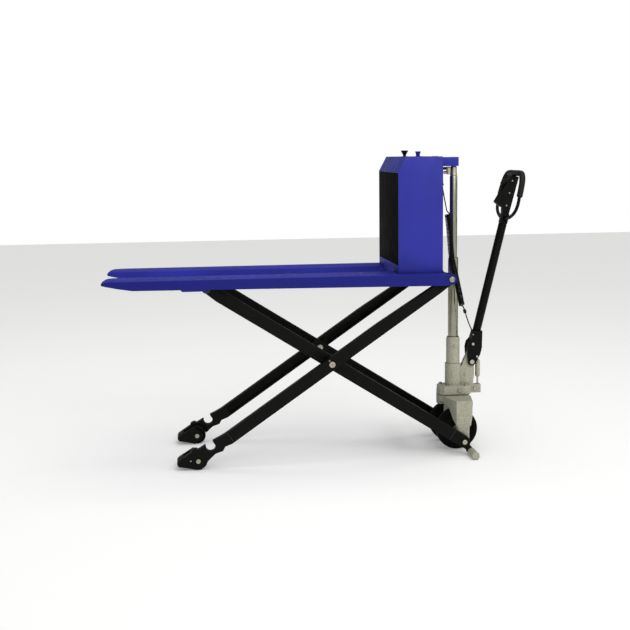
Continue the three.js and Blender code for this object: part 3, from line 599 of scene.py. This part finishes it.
def cast_skin(node, recesses):
    """A copy of a casting whose edges and inner corners are all softened, as if poured."""
    draft = bpy.data.objects.new("draft", frame["nodes"][node].data.copy())
    scene.collection.objects.link(draft)
    cutters = [block(low, high) for low, high in recesses]
    for cutter in cutters:
        recess = draft.modifiers.new("recess", "BOOLEAN")
        recess.operation = "DIFFERENCE"
        recess.solver = "EXACT"
        recess.object = cutter
    remesh = draft.modifiers.new("grid", "REMESH")
    remesh.mode = "VOXEL"
    remesh.voxel_size = CAST_VOXEL
    soften = draft.modifiers.new("soften", "SMOOTH")
    soften.factor = 0.5
    soften.iterations = 5
    inset = draft.modifiers.new("inset", "DISPLACE")
    inset.strength = -CAST_INSET
    inset.mid_level = 0.0
    shown = draft.evaluated_get(bpy.context.evaluated_depsgraph_get())
    finished = bpy.data.meshes.new_from_object(shown)
    for spare in [draft] + cutters:
        bpy.data.objects.remove(spare)
    stand_in(node, finished, CAST_SMOOTH)


# ------------------------------------------------------------------ finer round pieces
AROUND = 72                 # flats around a turned piece


def lathe(name, start, along, outline, material, body, around=AROUND, stands_for=None):
    """Solid of revolution, from (position along the axis, radius) pairs.

    It is an extra piece unless it stands for a CAD node.
    """
    along = along.normalized()
    side = along.orthogonal().normalized()
    other = along.cross(side)
    vertices = []
    for position, radius in outline:
        for k in range(around):
            angle = 2 * math.pi * k / around
            vertices.append(start + along * position
                            + (side * math.cos(angle) + other * math.sin(angle)) * radius)
    faces = sleeve(len(outline), around)
    if outline[0] != outline[-1]:
        faces += caps(len(outline), around)
    piece = add_piece(name, vertices, faces, material, TURNED_SMOOTH)
    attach(piece, body)
    if stands_for:
        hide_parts(stands_for)


def hexagon(name, start, along, across, height, material, body, turn):
    """Bolt head or nut: six flats with a turned chamfer on its outer face."""
    along = along.normalized()
    side = along.orthogonal().normalized()
    other = along.cross(side)
    corner = across / math.sqrt(3)
    vertices = []
    chamfer = (0.0, 1.0), (height * 0.84, 1.0), (height, 0.88)
    for position, share in chamfer:
        for k in range(6):
            angle = turn + math.pi * k / 3
            vertices.append(start + along * position
                            + (side * math.cos(angle) + other * math.sin(angle)) * corner * share)
    faces = caps(len(chamfer), 6) + sleeve(len(chamfer), 6)
    piece = add_piece(name, vertices, faces, material, HEX_SMOOTH)
    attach(piece, body)


def bead(name, points, radius, material, body, per_span):
    """Weld bead: a line of small overlapping ripples, which never quite repeat."""
    path = spline(points, per_span)
    count = len(path) - 1

    def ripple(share):
        along = share * count
        return radius * (1 + 0.16 * math.cos(along * 1.9) + 0.07 * math.sin(along * 0.61))

    piece = tube(name, path, ripple, material, 8)
    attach(piece, body)


def both_sides(make):
    """Calls make(side name, sign of Y) for the driver's left (-Y) and right."""
    for side_name, sign in (("left", -1.0), ("right", 1.0)):
        make(side_name, sign)


UP = Vector((0, 0, 1))
ACROSS = Vector((0, 1, 0))
REARWARD = Vector((1, 0, 0))          # towards the handle


def make_mast():
    foot = at(MAST_X, 0, 0)
    lathe("mast_barrel_skin", foot, UP, [
        (0.101, 0.0285), (0.461, 0.0285), (0.4625, 0.0282), (0.4695, 0.0262), (0.470, 0.0255),
        (0.470, 0.0235), (0.4685, 0.0230), (0.4670, 0.0225), (0.4650, 0.0219), (0.446, 0.0219),
        (0.444, 0.0230), (0.104, 0.0230), (0.104, 0.0001),
    ], GREY, "steering_column", stands_for="mast_barrel")
    lathe("stage_wiper", foot, UP, [
        (0.4640, 0.0218), (0.4705, 0.0218), (0.4725, 0.0222), (0.4725, 0.0234), (0.4690, 0.0240),
        (0.4640, 0.0240), (0.4640, 0.0218),
    ], RUBBER, "steering_column")
    lathe("mast_stage_skin", foot, UP, [
        (0.440, 0.0175), (0.440, 0.0215), (0.7995, 0.0215), (0.8005, 0.0213), (0.8055, 0.0202),
        (0.808, 0.0195), (0.808, 0.0172), (0.8065, 0.0166), (0.786, 0.0165), (0.784, 0.0175),
        (0.440, 0.0175),
    ], CHROME, "mast_stage", stands_for="mast_stage")
    lathe("piston_wiper", foot, UP, [
        (0.801, 0.0162), (0.8085, 0.0162), (0.8100, 0.0165), (0.8100, 0.0174), (0.8065, 0.0180),
        (0.801, 0.0180), (0.801, 0.0162),
    ], RUBBER, "mast_stage")
    lathe("mast_piston_skin", foot, UP, [
        (0.779, 0.0160), (1.1470, 0.0160), (1.1510, 0.0147), (1.152, 0.0140), (1.152, 0.0080),
        (1.170, 0.0080), (1.172, 0.0068),
    ], CHROME, "mast_piston", stands_for="mast_piston")


def make_wheels():
    def steer_wheel(side_name, sign):
        body = "steer_wheel_" + side_name
        hub_at = at(MAST_X, sign * 0.068, AXLE_Z)
        out = ACROSS * sign
        lathe(body + "_tread", hub_at, out, [
            (-0.0195, 0.0664), (-0.0240, 0.0675), (-0.0240, 0.0798), (-0.0228, 0.0825),
            (-0.0200, 0.0852), (-0.0165, 0.0866), (-0.0125, 0.0870), (0.0125, 0.0870),
            (0.0165, 0.0866), (0.0200, 0.0852), (0.0228, 0.0825), (0.0240, 0.0798),
            (0.0240, 0.0675), (0.0195, 0.0664), (-0.0195, 0.0664),
        ], TYRE, body, 96, stands_for=f"steer_wheel_tyre_{side_name}")
        lathe(body + "_centre", hub_at, out, [
            (-0.0210, 0.0104), (-0.0240, 0.0112), (-0.0240, 0.0250), (-0.0225, 0.0262),
            (-0.0160, 0.0296), (-0.0140, 0.0320), (-0.0138, 0.0585), (-0.0155, 0.0612),
            (-0.0200, 0.0640), (-0.0212, 0.0652), (-0.0205, 0.0660), (0.0205, 0.0660),
            (0.0212, 0.0652), (0.0200, 0.0640), (0.0155, 0.0612), (0.0138, 0.0585),
            (0.0140, 0.0320), (0.0160, 0.0296), (0.0225, 0.0262), (0.0240, 0.0250),
            (0.0240, 0.0112), (0.0210, 0.0104), (-0.0210, 0.0104),
        ], CASING, body, stands_for=f"steer_wheel_hub_{side_name}")
        lathe(body + "_bearing", hub_at + out * 0.0205, out, [
            (0.0, 0.0106), (0.0042, 0.0106), (0.0044, 0.0125), (0.0036, 0.0130), (0.0036, 0.0180),
            (0.0044, 0.0185), (0.0044, 0.0205), (0.0, 0.0208), (0.0, 0.0106),
        ], ZINC, body, 48)

    def front_roller(side_name, sign):
        body = "front_roller_" + side_name
        lathe(body + "_tread", at(FOOT[0], sign * 0.2075, FOOT[1]), ACROSS * sign, [
            (-0.0290, 0.0094), (-0.0305, 0.0104), (-0.0305, 0.0200), (-0.0285, 0.0212),
            (-0.0285, 0.0270), (-0.0305, 0.0282), (-0.0305, 0.0340), (-0.0292, 0.0362),
            (-0.0262, 0.0375), (0.0262, 0.0375), (0.0292, 0.0362), (0.0305, 0.0340),
            (0.0305, 0.0282), (0.0285, 0.0270), (0.0285, 0.0212), (0.0305, 0.0200),
            (0.0305, 0.0104), (0.0290, 0.0094), (-0.0290, 0.0094),
        ], TYRE, body, stands_for=body)

    def track_roller(side_name, sign):
        body = "track_roller_" + side_name
        lathe(body + "_rim", at(TRACK[0], sign * 0.2325, TRACK[1]), ACROSS * sign, [
            (-0.0145, 0.0084), (-0.0145, 0.0150), (-0.0137, 0.0164), (-0.0122, 0.0170),
            (0.0122, 0.0170), (0.0137, 0.0164), (0.0145, 0.0150), (0.0145, 0.0084),
            (-0.0145, 0.0084),
        ], ROLLER_STEEL, body, 48, stands_for=body)

    both_sides(steer_wheel)
    both_sides(front_roller)
    both_sides(track_roller)


def make_loop_rods():
    limb = [(0.010, 0.510), (0.034, 0.511), (0.062, 0.515), (0.090, 0.523), (0.118, 0.535),
            (0.138, 0.551), (0.148, 0.572), (0.147, 0.592), (0.144, 0.605)]

    def rod(side_name, sign):
        path = spline([on_shaft(0, sign * y, s) for y, s in limb], 8)
        piece = tube("loop_rod_" + side_name + "_skin", path, ROD_R, BLACK, 20)
        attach(piece, "handle")
        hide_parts("loop_rod_" + side_name)

    both_sides(rod)


def make_loop_grip():
    top_s = 0.705
    half = [(0.144, 0.6065), (0.139, 0.640), (0.132, 0.667), (0.119, 0.687), (0.100, 0.701),
            (0.070, top_s)]
    route = ([on_shaft(0, -y, s) for y, s in half] + [on_shaft(0, 0, top_s)]
             + [on_shaft(0, y, s) for y, s in reversed(half)])
    path = spline(route, 44)

    def grip_radius(share):
        """Rounded off over five steps of the path at each end, and ribbed from the twelfth."""
        end = min(share, 1 - share) * len(path)
        cap = min(1.0, 0.72 + 0.28 * math.sqrt(min(1.0, end / 5)))
        ribbed = RIB * math.cos(share * len(path) * math.pi / 3) if end > 12 else 0.0
        return GRIP_R * cap + ribbed

    grip = tube("loop_grip_skin", path, grip_radius, RUBBER, 28)
    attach(grip, "handle")
    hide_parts("loop_grip")


def make_head_screws():
    def head_screws(side_name, sign):
        for index, s in enumerate((0.5644, 0.618, 0.6706), 1):
            lathe(f"head_screw_{side_name}_{index}", on_shaft(-0.009, sign * 0.0222, s),
                  ACROSS * sign, [
                (0.0, 0.0036), (0.0008, 0.0036), (0.0014, 0.0030), (0.0014, 0.0018),
                (0.0004, 0.0016), (0.0004, 0.0002),
            ], ZINC, "handle", 32)

    both_sides(head_screws)


def make_shaft():
    shaft_line = on_shaft(0, 0, 1.0) - on_shaft(0, 0, 0.0)
    lathe("handle_shaft_skin", on_shaft(0, 0, 0), shaft_line, [
        (0.0, 0.0145), (0.0, 0.0172), (0.0006, 0.0175), (0.4860, 0.0175), (0.4878, 0.0160),
        (0.488, 0.0145), (0.0, 0.0145),
    ], BLACK, "handle", 48, stands_for="handle_shaft")


def make_arm_pins():
    """The arms' pins, each with a circlip groove and a centre mark, and the stabilisers."""
    def pins(side_name, sign):
        out = ACROSS * sign
        for name, centre, start, radius, tip, body in (
            ("rear_pin_" + side_name, (0.0, REAR_PIN_Z), 0.132, 0.0100, 0.2045, "frame"),
            ("cross_pin_" + side_name, CROSS, 0.157, 0.0123, 0.2545, "inner_arms"),
            ("front_roller_pin_" + side_name, FOOT, 0.165, 0.0090, 0.2535, "outer_arms"),
        ):
            lathe(name + "_skin", at(centre[0], 0, centre[1]), out, [
                (start, radius), (tip - 0.0022, radius), (tip - 0.0022, radius - 0.0007),
                (tip - 0.0014, radius - 0.0007), (tip - 0.0014, radius), (tip - 0.0008, radius),
                (tip, radius - 0.0010), (tip, 0.0034), (tip - 0.0016, 0.0020),
                (tip - 0.0022, 0.0004),
            ], ZINC, body, 48, stands_for=name)
        lathe(f"stabiliser_{side_name}_skin", at(0.028, 0, 0.0165), out, [
            (0.2004, 0.0152), (0.2014, 0.0164), (0.2400, 0.0164), (0.2412, 0.0152),
            (0.2440, 0.0152), (0.2452, 0.0164), (0.2730, 0.0164), (0.2745, 0.0158),
            (0.2750, 0.0145), (0.2750, 0.0030), (0.2742, 0.0010),
        ], GREY, "inner_arms", 60, stands_for="stabiliser_" + side_name)

    both_sides(pins)


def make_column_pins():
    lathe("handle_pin_skin", at(0.073, 0, 0.361), ACROSS, [
        (-0.0285, 0.0020), (-0.0285, 0.0090), (-0.0277, 0.0099), (-0.0258, 0.0100),
        (-0.0250, 0.0096), (-0.0250, 0.0080), (0.0250, 0.0080), (0.0250, 0.0096), (0.0258, 0.0100),
        (0.0277, 0.0099), (0.0285, 0.0090), (0.0285, 0.0020),
    ], ZINC, "steering_column", 48, stands_for="handle_pin")
    lathe("steer_axle_skin", at(MAST_X, 0, AXLE_Z), ACROSS, [
        (-0.097, 0.0085), (-0.0955, 0.0100), (0.0955, 0.0100), (0.097, 0.0085),
    ], ZINC, "steering_column", 48, stands_for="steer_axle")
    lathe("pump_plunger_skin", at(0.044, 0, 0), UP, [
        (0.296, 0.0060), (0.297, 0.0070), (0.343, 0.0070), (0.345, 0.0056),
    ], CHROME, "pump_plunger", 48, stands_for="pump_plunger")


def make_knobs():
    stop_at = at(-0.232, -0.096, 0)
    selector_at = at(-0.1765, -0.096, 0)
    lathe("stop_knob_skin", stop_at, UP, [
        (1.222, 0.0060), (1.237, 0.0060), (1.240, 0.0070), (1.2440, 0.0088), (1.2490, 0.0118),
        (1.2530, 0.0139), (1.2550, 0.0145), (1.2562, 0.0143), (1.2568, 0.0136), (1.257, 0.0120),
        (1.2562, 0.0060), (1.2560, 0.0010),
    ], CASING, "stop_knob", 48, stands_for="stop_knob")
    lathe("stop_knob_collar", stop_at, UP, [
        (1.2322, 0.0096), (1.2322, 0.0132), (1.2332, 0.0132), (1.2336, 0.0126), (1.2336, 0.0096),
        (1.2322, 0.0096),
    ], CASING, "carriage", 48)
    lathe("selector_knob_skin", selector_at, UP, [
        (1.222, 0.0080), (1.240, 0.0080), (1.2470, 0.0101), (1.2512, 0.0113), (1.2524, 0.0111),
        (1.253, 0.0100), (1.2526, 0.0010),
    ], BLUE, "selector_knob", 48, stands_for="selector_knob")
    lathe("selector_collar", selector_at, UP, [
        (1.2322, 0.0086), (1.2322, 0.0118), (1.2332, 0.0118), (1.2337, 0.0112), (1.2337, 0.0086),
        (1.2322, 0.0086),
    ], CASING, "carriage", 48)


def make_release_valve():
    lathe("release_valve_skin", at(0.1035, 0, 0), UP, [
        (0.2535, 0.0050), (0.264, 0.0050), (0.266, 0.0040), (0.290, 0.0040), (0.2935, 0.0070),
        (0.297, 0.0098), (0.2990, 0.0105), (0.3190, 0.0105), (0.3198, 0.0098), (0.3212, 0.0098),
        (0.3220, 0.0105), (0.3505, 0.0105), (0.3570, 0.0101), (0.3630, 0.0092), (0.3655, 0.0078),
        (0.367, 0.0050), (0.367, 0.0010),
    ], GREY, "release_valve", 48, stands_for="release_valve")


def make_pump_bolts():
    flange_z = 0.2615
    flange = (-0.052, -0.030), (-0.052, 0.030), (0.046, -0.034), (0.046, 0.034)
    for index, (x, y) in enumerate(flange, 1):
        hexagon(f"flange_bolt_{index}", at(x, y, flange_z), UP, 0.0130, 0.0060, ZINC,
                "steering_column", 0.4 * index)


def make_bracket_bolts():
    def bracket_bolts(side_name, sign):
        side_y = sign * 0.0238
        out = ACROSS * sign
        hexagon(f"bracket_bolt_{side_name}", at(0.077, side_y, 0.438), out, 0.0115, 0.0042, ZINC,
                "handle", 0.3)
        hexagon(f"bracket_screw_{side_name}", at(0.095, side_y, 0.384), out, 0.0095, 0.0036, ZINC,
                "handle", 0.1)

    both_sides(bracket_bolts)


def make_plugs():
    hexagon("drain_plug", at(0.014, -0.0455, PLUG_Z), -ACROSS, 0.0150, 0.0045, ZINC,
            "steering_column", 0.3)
    hexagon("relief_screw", at(0.088, -0.0128, PLUG_Z), -ACROSS, 0.0110, 0.0040, ZINC,
            "steering_column", 0.1)
    lathe("barrel_fill_plug", at(MAST_X, -0.0280, 0.430), -ACROSS, [
        (0.0, 0.0050), (0.0022, 0.0050), (0.0028, 0.0044), (0.0028, 0.0024), (0.0012, 0.0022),
        (0.0012, 0.0002),
    ], ZINC, "steering_column", 36)


def grease_nipple(name, place, out, body):
    lathe(name, place, out, [
        (-0.001, 0.0030), (0.0012, 0.0030), (0.0015, 0.0019), (0.0028, 0.0017), (0.0034, 0.0024),
        (0.0044, 0.0023), (0.0052, 0.0012), (0.0053, 0.0002),
    ], ZINC, body, 24)


def make_arm_details():
    def details(side_name, sign):
        out = ACROSS * sign
        inner_y, outer_y, lug_y = sign * INNER_SIDE_Y, sign * OUTER_SIDE_Y, sign * 0.2617
        heel = on_inner(-0.061, inner_y, 0.0245), on_inner(-0.061, inner_y, -0.0245)
        bead(f"inner_arm_{side_name}_weld", [heel[0], heel[0].lerp(heel[1], 0.5), heel[1]],
             0.0013, WELD, "inner_arms", 16)
        toe_y = outer_y + sign * 0.0001
        toe = on_outer(0.160, toe_y, 0.0245), on_outer(0.160, toe_y, -0.0225)
        bead(f"outer_arm_{side_name}_weld", [toe[0], toe[0].lerp(toe[1], 0.5), toe[1]],
             0.0011, WELD, "outer_arms", 16)
        boss_r = 0.0165
        boss = [on_inner(boss_r * math.cos(a) - BELOW_CROSS, inner_y, boss_r * math.sin(a))
                for a in (k * math.pi / 12 for k in range(25))]
        bead(f"cross_boss_{side_name}_weld", boss, 0.0009, BLACK, "inner_arms", 3)
        tie_bar = [on_inner(x, sign * 0.1644, -0.0123) for x in (-0.234, -0.206, -0.178)]
        bead(f"tie_bar_{side_name}_weld", tie_bar, 0.0022, BLACK, "inner_arms", 14)
        lug = [at(x, lug_y, 0.7600) for x in (-0.270, -0.190, -0.112)]
        bead(f"fork_{side_name}_lug_weld", lug, 0.0020, BLUE, "carriage", 26)
        grease_nipple(f"cross_nipple_{side_name}", on_outer(BELOW_CROSS, outer_y, 0.0185), out,
                      "outer_arms")
        grease_nipple(f"foot_nipple_{side_name}", on_outer(-0.0235, outer_y, 0.0190), out,
                      "outer_arms")
        hexagon(f"lug_bolt_{side_name}_head", at(LUG[0], sign * 0.2704, LUG[1]), out, 0.0190,
                0.0064, ZINC, "carriage", 0.2)
        lathe(f"lug_bolt_{side_name}_washer", at(LUG[0], sign * 0.2700, LUG[1]), out, [
            (0.0, 0.0112), (0.0010, 0.0112), (0.0014, 0.0107), (0.0014, 0.0080),
        ], ZINC, "carriage", 48)

    both_sides(details)


def make_cord_fittings():
    mouth = at(-0.066, -0.050, 1.1190)
    hexagon("gland_nut", mouth + UP * 0.0005, -UP, 0.0145, 0.0060, CASING, "carriage", 0.2)
    lathe("gland_boot", mouth - UP * 0.0050, -UP, [
        (0.0, 0.0052), (0.0030, 0.0050), (0.0034, 0.0042), (0.0052, 0.0042), (0.0056, 0.0046),
        (0.0076, 0.0044), (0.0080, 0.0037), (0.0098, 0.0037), (0.0102, 0.0040), (0.0118, 0.0036),
        (0.0120, 0.0027),
    ], RUBBER, "carriage", 32)
    low = LOWER[TAIL_START]
    along = (LOWER[TAIL_START + 2] - LOWER[TAIL_START - 2]).normalized()
    lathe("cord_sleeve", low - along * 0.0085, along, [
        (0.0, 0.0030), (0.0006, 0.0052), (0.0022, 0.0064), (0.0060, 0.0068), (0.0110, 0.0068),
        (0.0148, 0.0062), (0.0164, 0.0050), (0.0170, 0.0030),
    ], RUBBER, "frame", 36)
    lathe("clamp_screw", at(0.075, -0.0318, 0.480), -ACROSS, [
        (0.0, 0.0030), (0.0018, 0.0030), (0.0024, 0.0024), (0.0024, 0.0014), (0.0012, 0.0012),
        (0.0012, 0.0002),
    ], ZINC, "handle", 32)


def make_panel_screws():
    low, high = 0.818, 1.151
    screws = ((-0.205, low), (0.205, low), (-0.205, high), (0.205, high), (0.0, low), (0.0, high))
    for index, (y, z) in enumerate(screws, 1):
        lathe(f"panel_screw_{index}", at(-0.2818, y, z), -REARWARD, [
            (0.0, 0.0052), (0.0008, 0.0051), (0.0020, 0.0040), (0.0024, 0.0026), (0.0024, 0.0020),
            (0.0010, 0.0018), (0.0010, 0.0002),
        ], CASING, "carriage", 36)


def make_crosshead_details():
    for index, y in enumerate((-0.024, 0.024), 1):
        hexagon(f"crosshead_bolt_{index}", at(-0.084, y, 1.2275), UP, 0.0130, 0.0055, ZINC,
                "carriage", 0.5 * index)
    lathe("return_hose", at(-0.0935, 0, 1.181), REARWARD, [
        (0.0, 0.0057), (0.0010, 0.0062), (0.0060, 0.0062), (0.0070, 0.0055), (0.0460, 0.0055),
        (0.0470, 0.0062), (0.0560, 0.0062), (0.0570, 0.0057),
    ], RUBBER, "carriage", 36)
    hexagon("mast_nut", at(MAST_X, 0, 1.1890), UP, 0.0220, 0.0014, ZINC, "carriage", 0.3)
    cover_back_x = -0.1003
    for label, x in (("cover", cover_back_x), ("head", -0.0440)):
        hexagon(f"tube_nut_{label}", at(x, 0, 1.164), REARWARD, 0.0135, 0.0090, ZINC, "carriage",
                0.2)
    seam = [at(cover_back_x, y, z) for y, z in ((-0.034, 1.1905), (0.0, 1.1900), (0.034, 1.1905))]
    bead("crosshead_weld", seam, 0.0022, BLUE, "carriage", 18)


LATHED = {
    "mast_barrel", "mast_stage", "mast_piston", "steer_wheel_tyre_left", "steer_wheel_tyre_right",
    "steer_wheel_hub_left", "steer_wheel_hub_right", "front_roller_left", "front_roller_right",
    "track_roller_left", "track_roller_right", "loop_rod_left", "loop_rod_right", "loop_grip",
    "handle_shaft", "rear_pin_left", "rear_pin_right", "cross_pin_left", "cross_pin_right",
    "front_roller_pin_left", "front_roller_pin_right", "stabiliser_left", "stabiliser_right",
    "handle_pin", "steer_axle", "pump_plunger", "stop_knob", "selector_knob", "release_valve",
}
CAST = {
    "saddle_frame": [((-0.014, -0.165, 0.150), (0.023, -0.1585, 0.188)),
                     ((-0.014, 0.1585, 0.150), (0.023, 0.165, 0.188))],
    "pump_casting": [],
}
PLAIN_ROUNDING = 0.0012
ROUNDING = {
    "fork_left": 0.0028, "fork_right": 0.0028, "cover": 0.0022, "crosshead": 0.0025,
    "control_head": 0.003, "handle_bracket": 0.0016, "inner_arm_left": 0.0022,
    "inner_arm_right": 0.0022, "outer_arm_left": 0.0022, "outer_arm_right": 0.0022,
    "release_lever": 0.002, "lift_rocker": 0.002, "battery_left": 0.004, "battery_right": 0.004,
    "oil_tank": 0.008, "power_unit": 0.003, "controller": 0.003, "loop_yoke": 0.0025,
}
for node_name, node_material in MATERIAL_OF.items():
    cad_object = frame["nodes"][node_name]
    cad_object.data.materials.clear()
    cad_object.data.materials.append(node_material)
    if node_name in CAST:
        cast_skin(node_name, CAST[node_name])
    elif node_name not in LATHED:
        skin(node_name, ROUNDING.get(node_name, PLAIN_ROUNDING))
make_mast()
make_wheels()
make_loop_rods()
make_loop_grip()
make_head_screws()
make_shaft()
make_arm_pins()
make_column_pins()
make_knobs()
make_release_valve()
make_pump_bolts()
make_bracket_bolts()
make_plugs()
make_arm_details()
make_cord_fittings()
make_panel_screws()
make_crosshead_details()


# ------------------------------------------------------------------ floor and light
FLOOR_HALF = 12.0
FLOOR_GLOW = 0.2            # keeps the floor as pale as the photo's ground


def make_stage():
    half = FLOOR_HALF
    plain = Graph("floor_paint", srgb(240, 240, 238), 0.7)
    plain.to_shader(plain.ramp(plain.noise(40.0, 3.0), 0.3, 0.7, 0.66, 0.74), "Roughness")
    plain.shader.inputs["Emission Color"].default_value = srgb(250, 250, 250)
    plain.shader.inputs["Emission Strength"].default_value = FLOOR_GLOW
    corners = [(-half, -half, 0), (half, -half, 0), (half, half, 0), (-half, half, 0)]
    floor = add_piece("floor", corners, [(0, 1, 2, 3)], plain.material)


def area_light(name, place, aim, size, power):
    data = bpy.data.lights.new(name, "AREA")
    data.size = size
    data.energy = power
    lamp = bpy.data.objects.new(name, data)
    lamp.location = place
    lamp.rotation_mode = "QUATERNION"
    lamp.rotation_quaternion = (Vector(aim) - Vector(place)).to_track_quat("-Z", "Y")
    scene.collection.objects.link(lamp)


LIT_SIDE = (0.45, -0.8, 0.4)          # the studio's walls are brightest that way


def make_world():
    world = bpy.data.worlds.new("studio")
    world.use_nodes = True
    scene.world = world
    nodes, links = world.node_tree.nodes, world.node_tree.links
    background = nodes["Background"]
    direction = nodes.new("ShaderNodeTexCoord").outputs["Generated"]
    towards = nodes.new("ShaderNodeVectorMath")
    towards.operation = "DOT_PRODUCT"
    towards.inputs[1].default_value = LIT_SIDE
    links.new(direction, towards.inputs[0])
    glow = nodes.new("ShaderNodeMapRange")
    glow.interpolation_type = "SMOOTHSTEP"
    glow.inputs["From Min"].default_value = -0.2
    glow.inputs["From Max"].default_value = 0.75
    glow.inputs["To Min"].default_value = 0.3
    glow.inputs["To Max"].default_value = 0.95
    links.new(towards.outputs["Value"], glow.inputs["Value"])
    seen = nodes.new("ShaderNodeLightPath").outputs["Is Camera Ray"]
    plain = nodes.new("ShaderNodeMix")
    links.new(seen, plain.inputs[MIX_FACTOR])
    links.new(glow.outputs["Result"], plain.inputs[MIX_NUMBERS[0]])
    plain.inputs[MIX_NUMBERS[1]].default_value = 1.0
    links.new(plain.outputs[MIX_NUMBER_OUT], background.inputs["Strength"])
    background.inputs["Color"].default_value = (1.0, 1.0, 1.0, 1.0)


make_stage()
make_world()
area_light("key", (1.6, -4.2, 3.6), (0.0, 0.0, 0.6), 2.6, 70.0)
area_light("top", (0.0, 0.4, 4.4), (0.0, 0.0, 0.5), 3.0, 45.0)
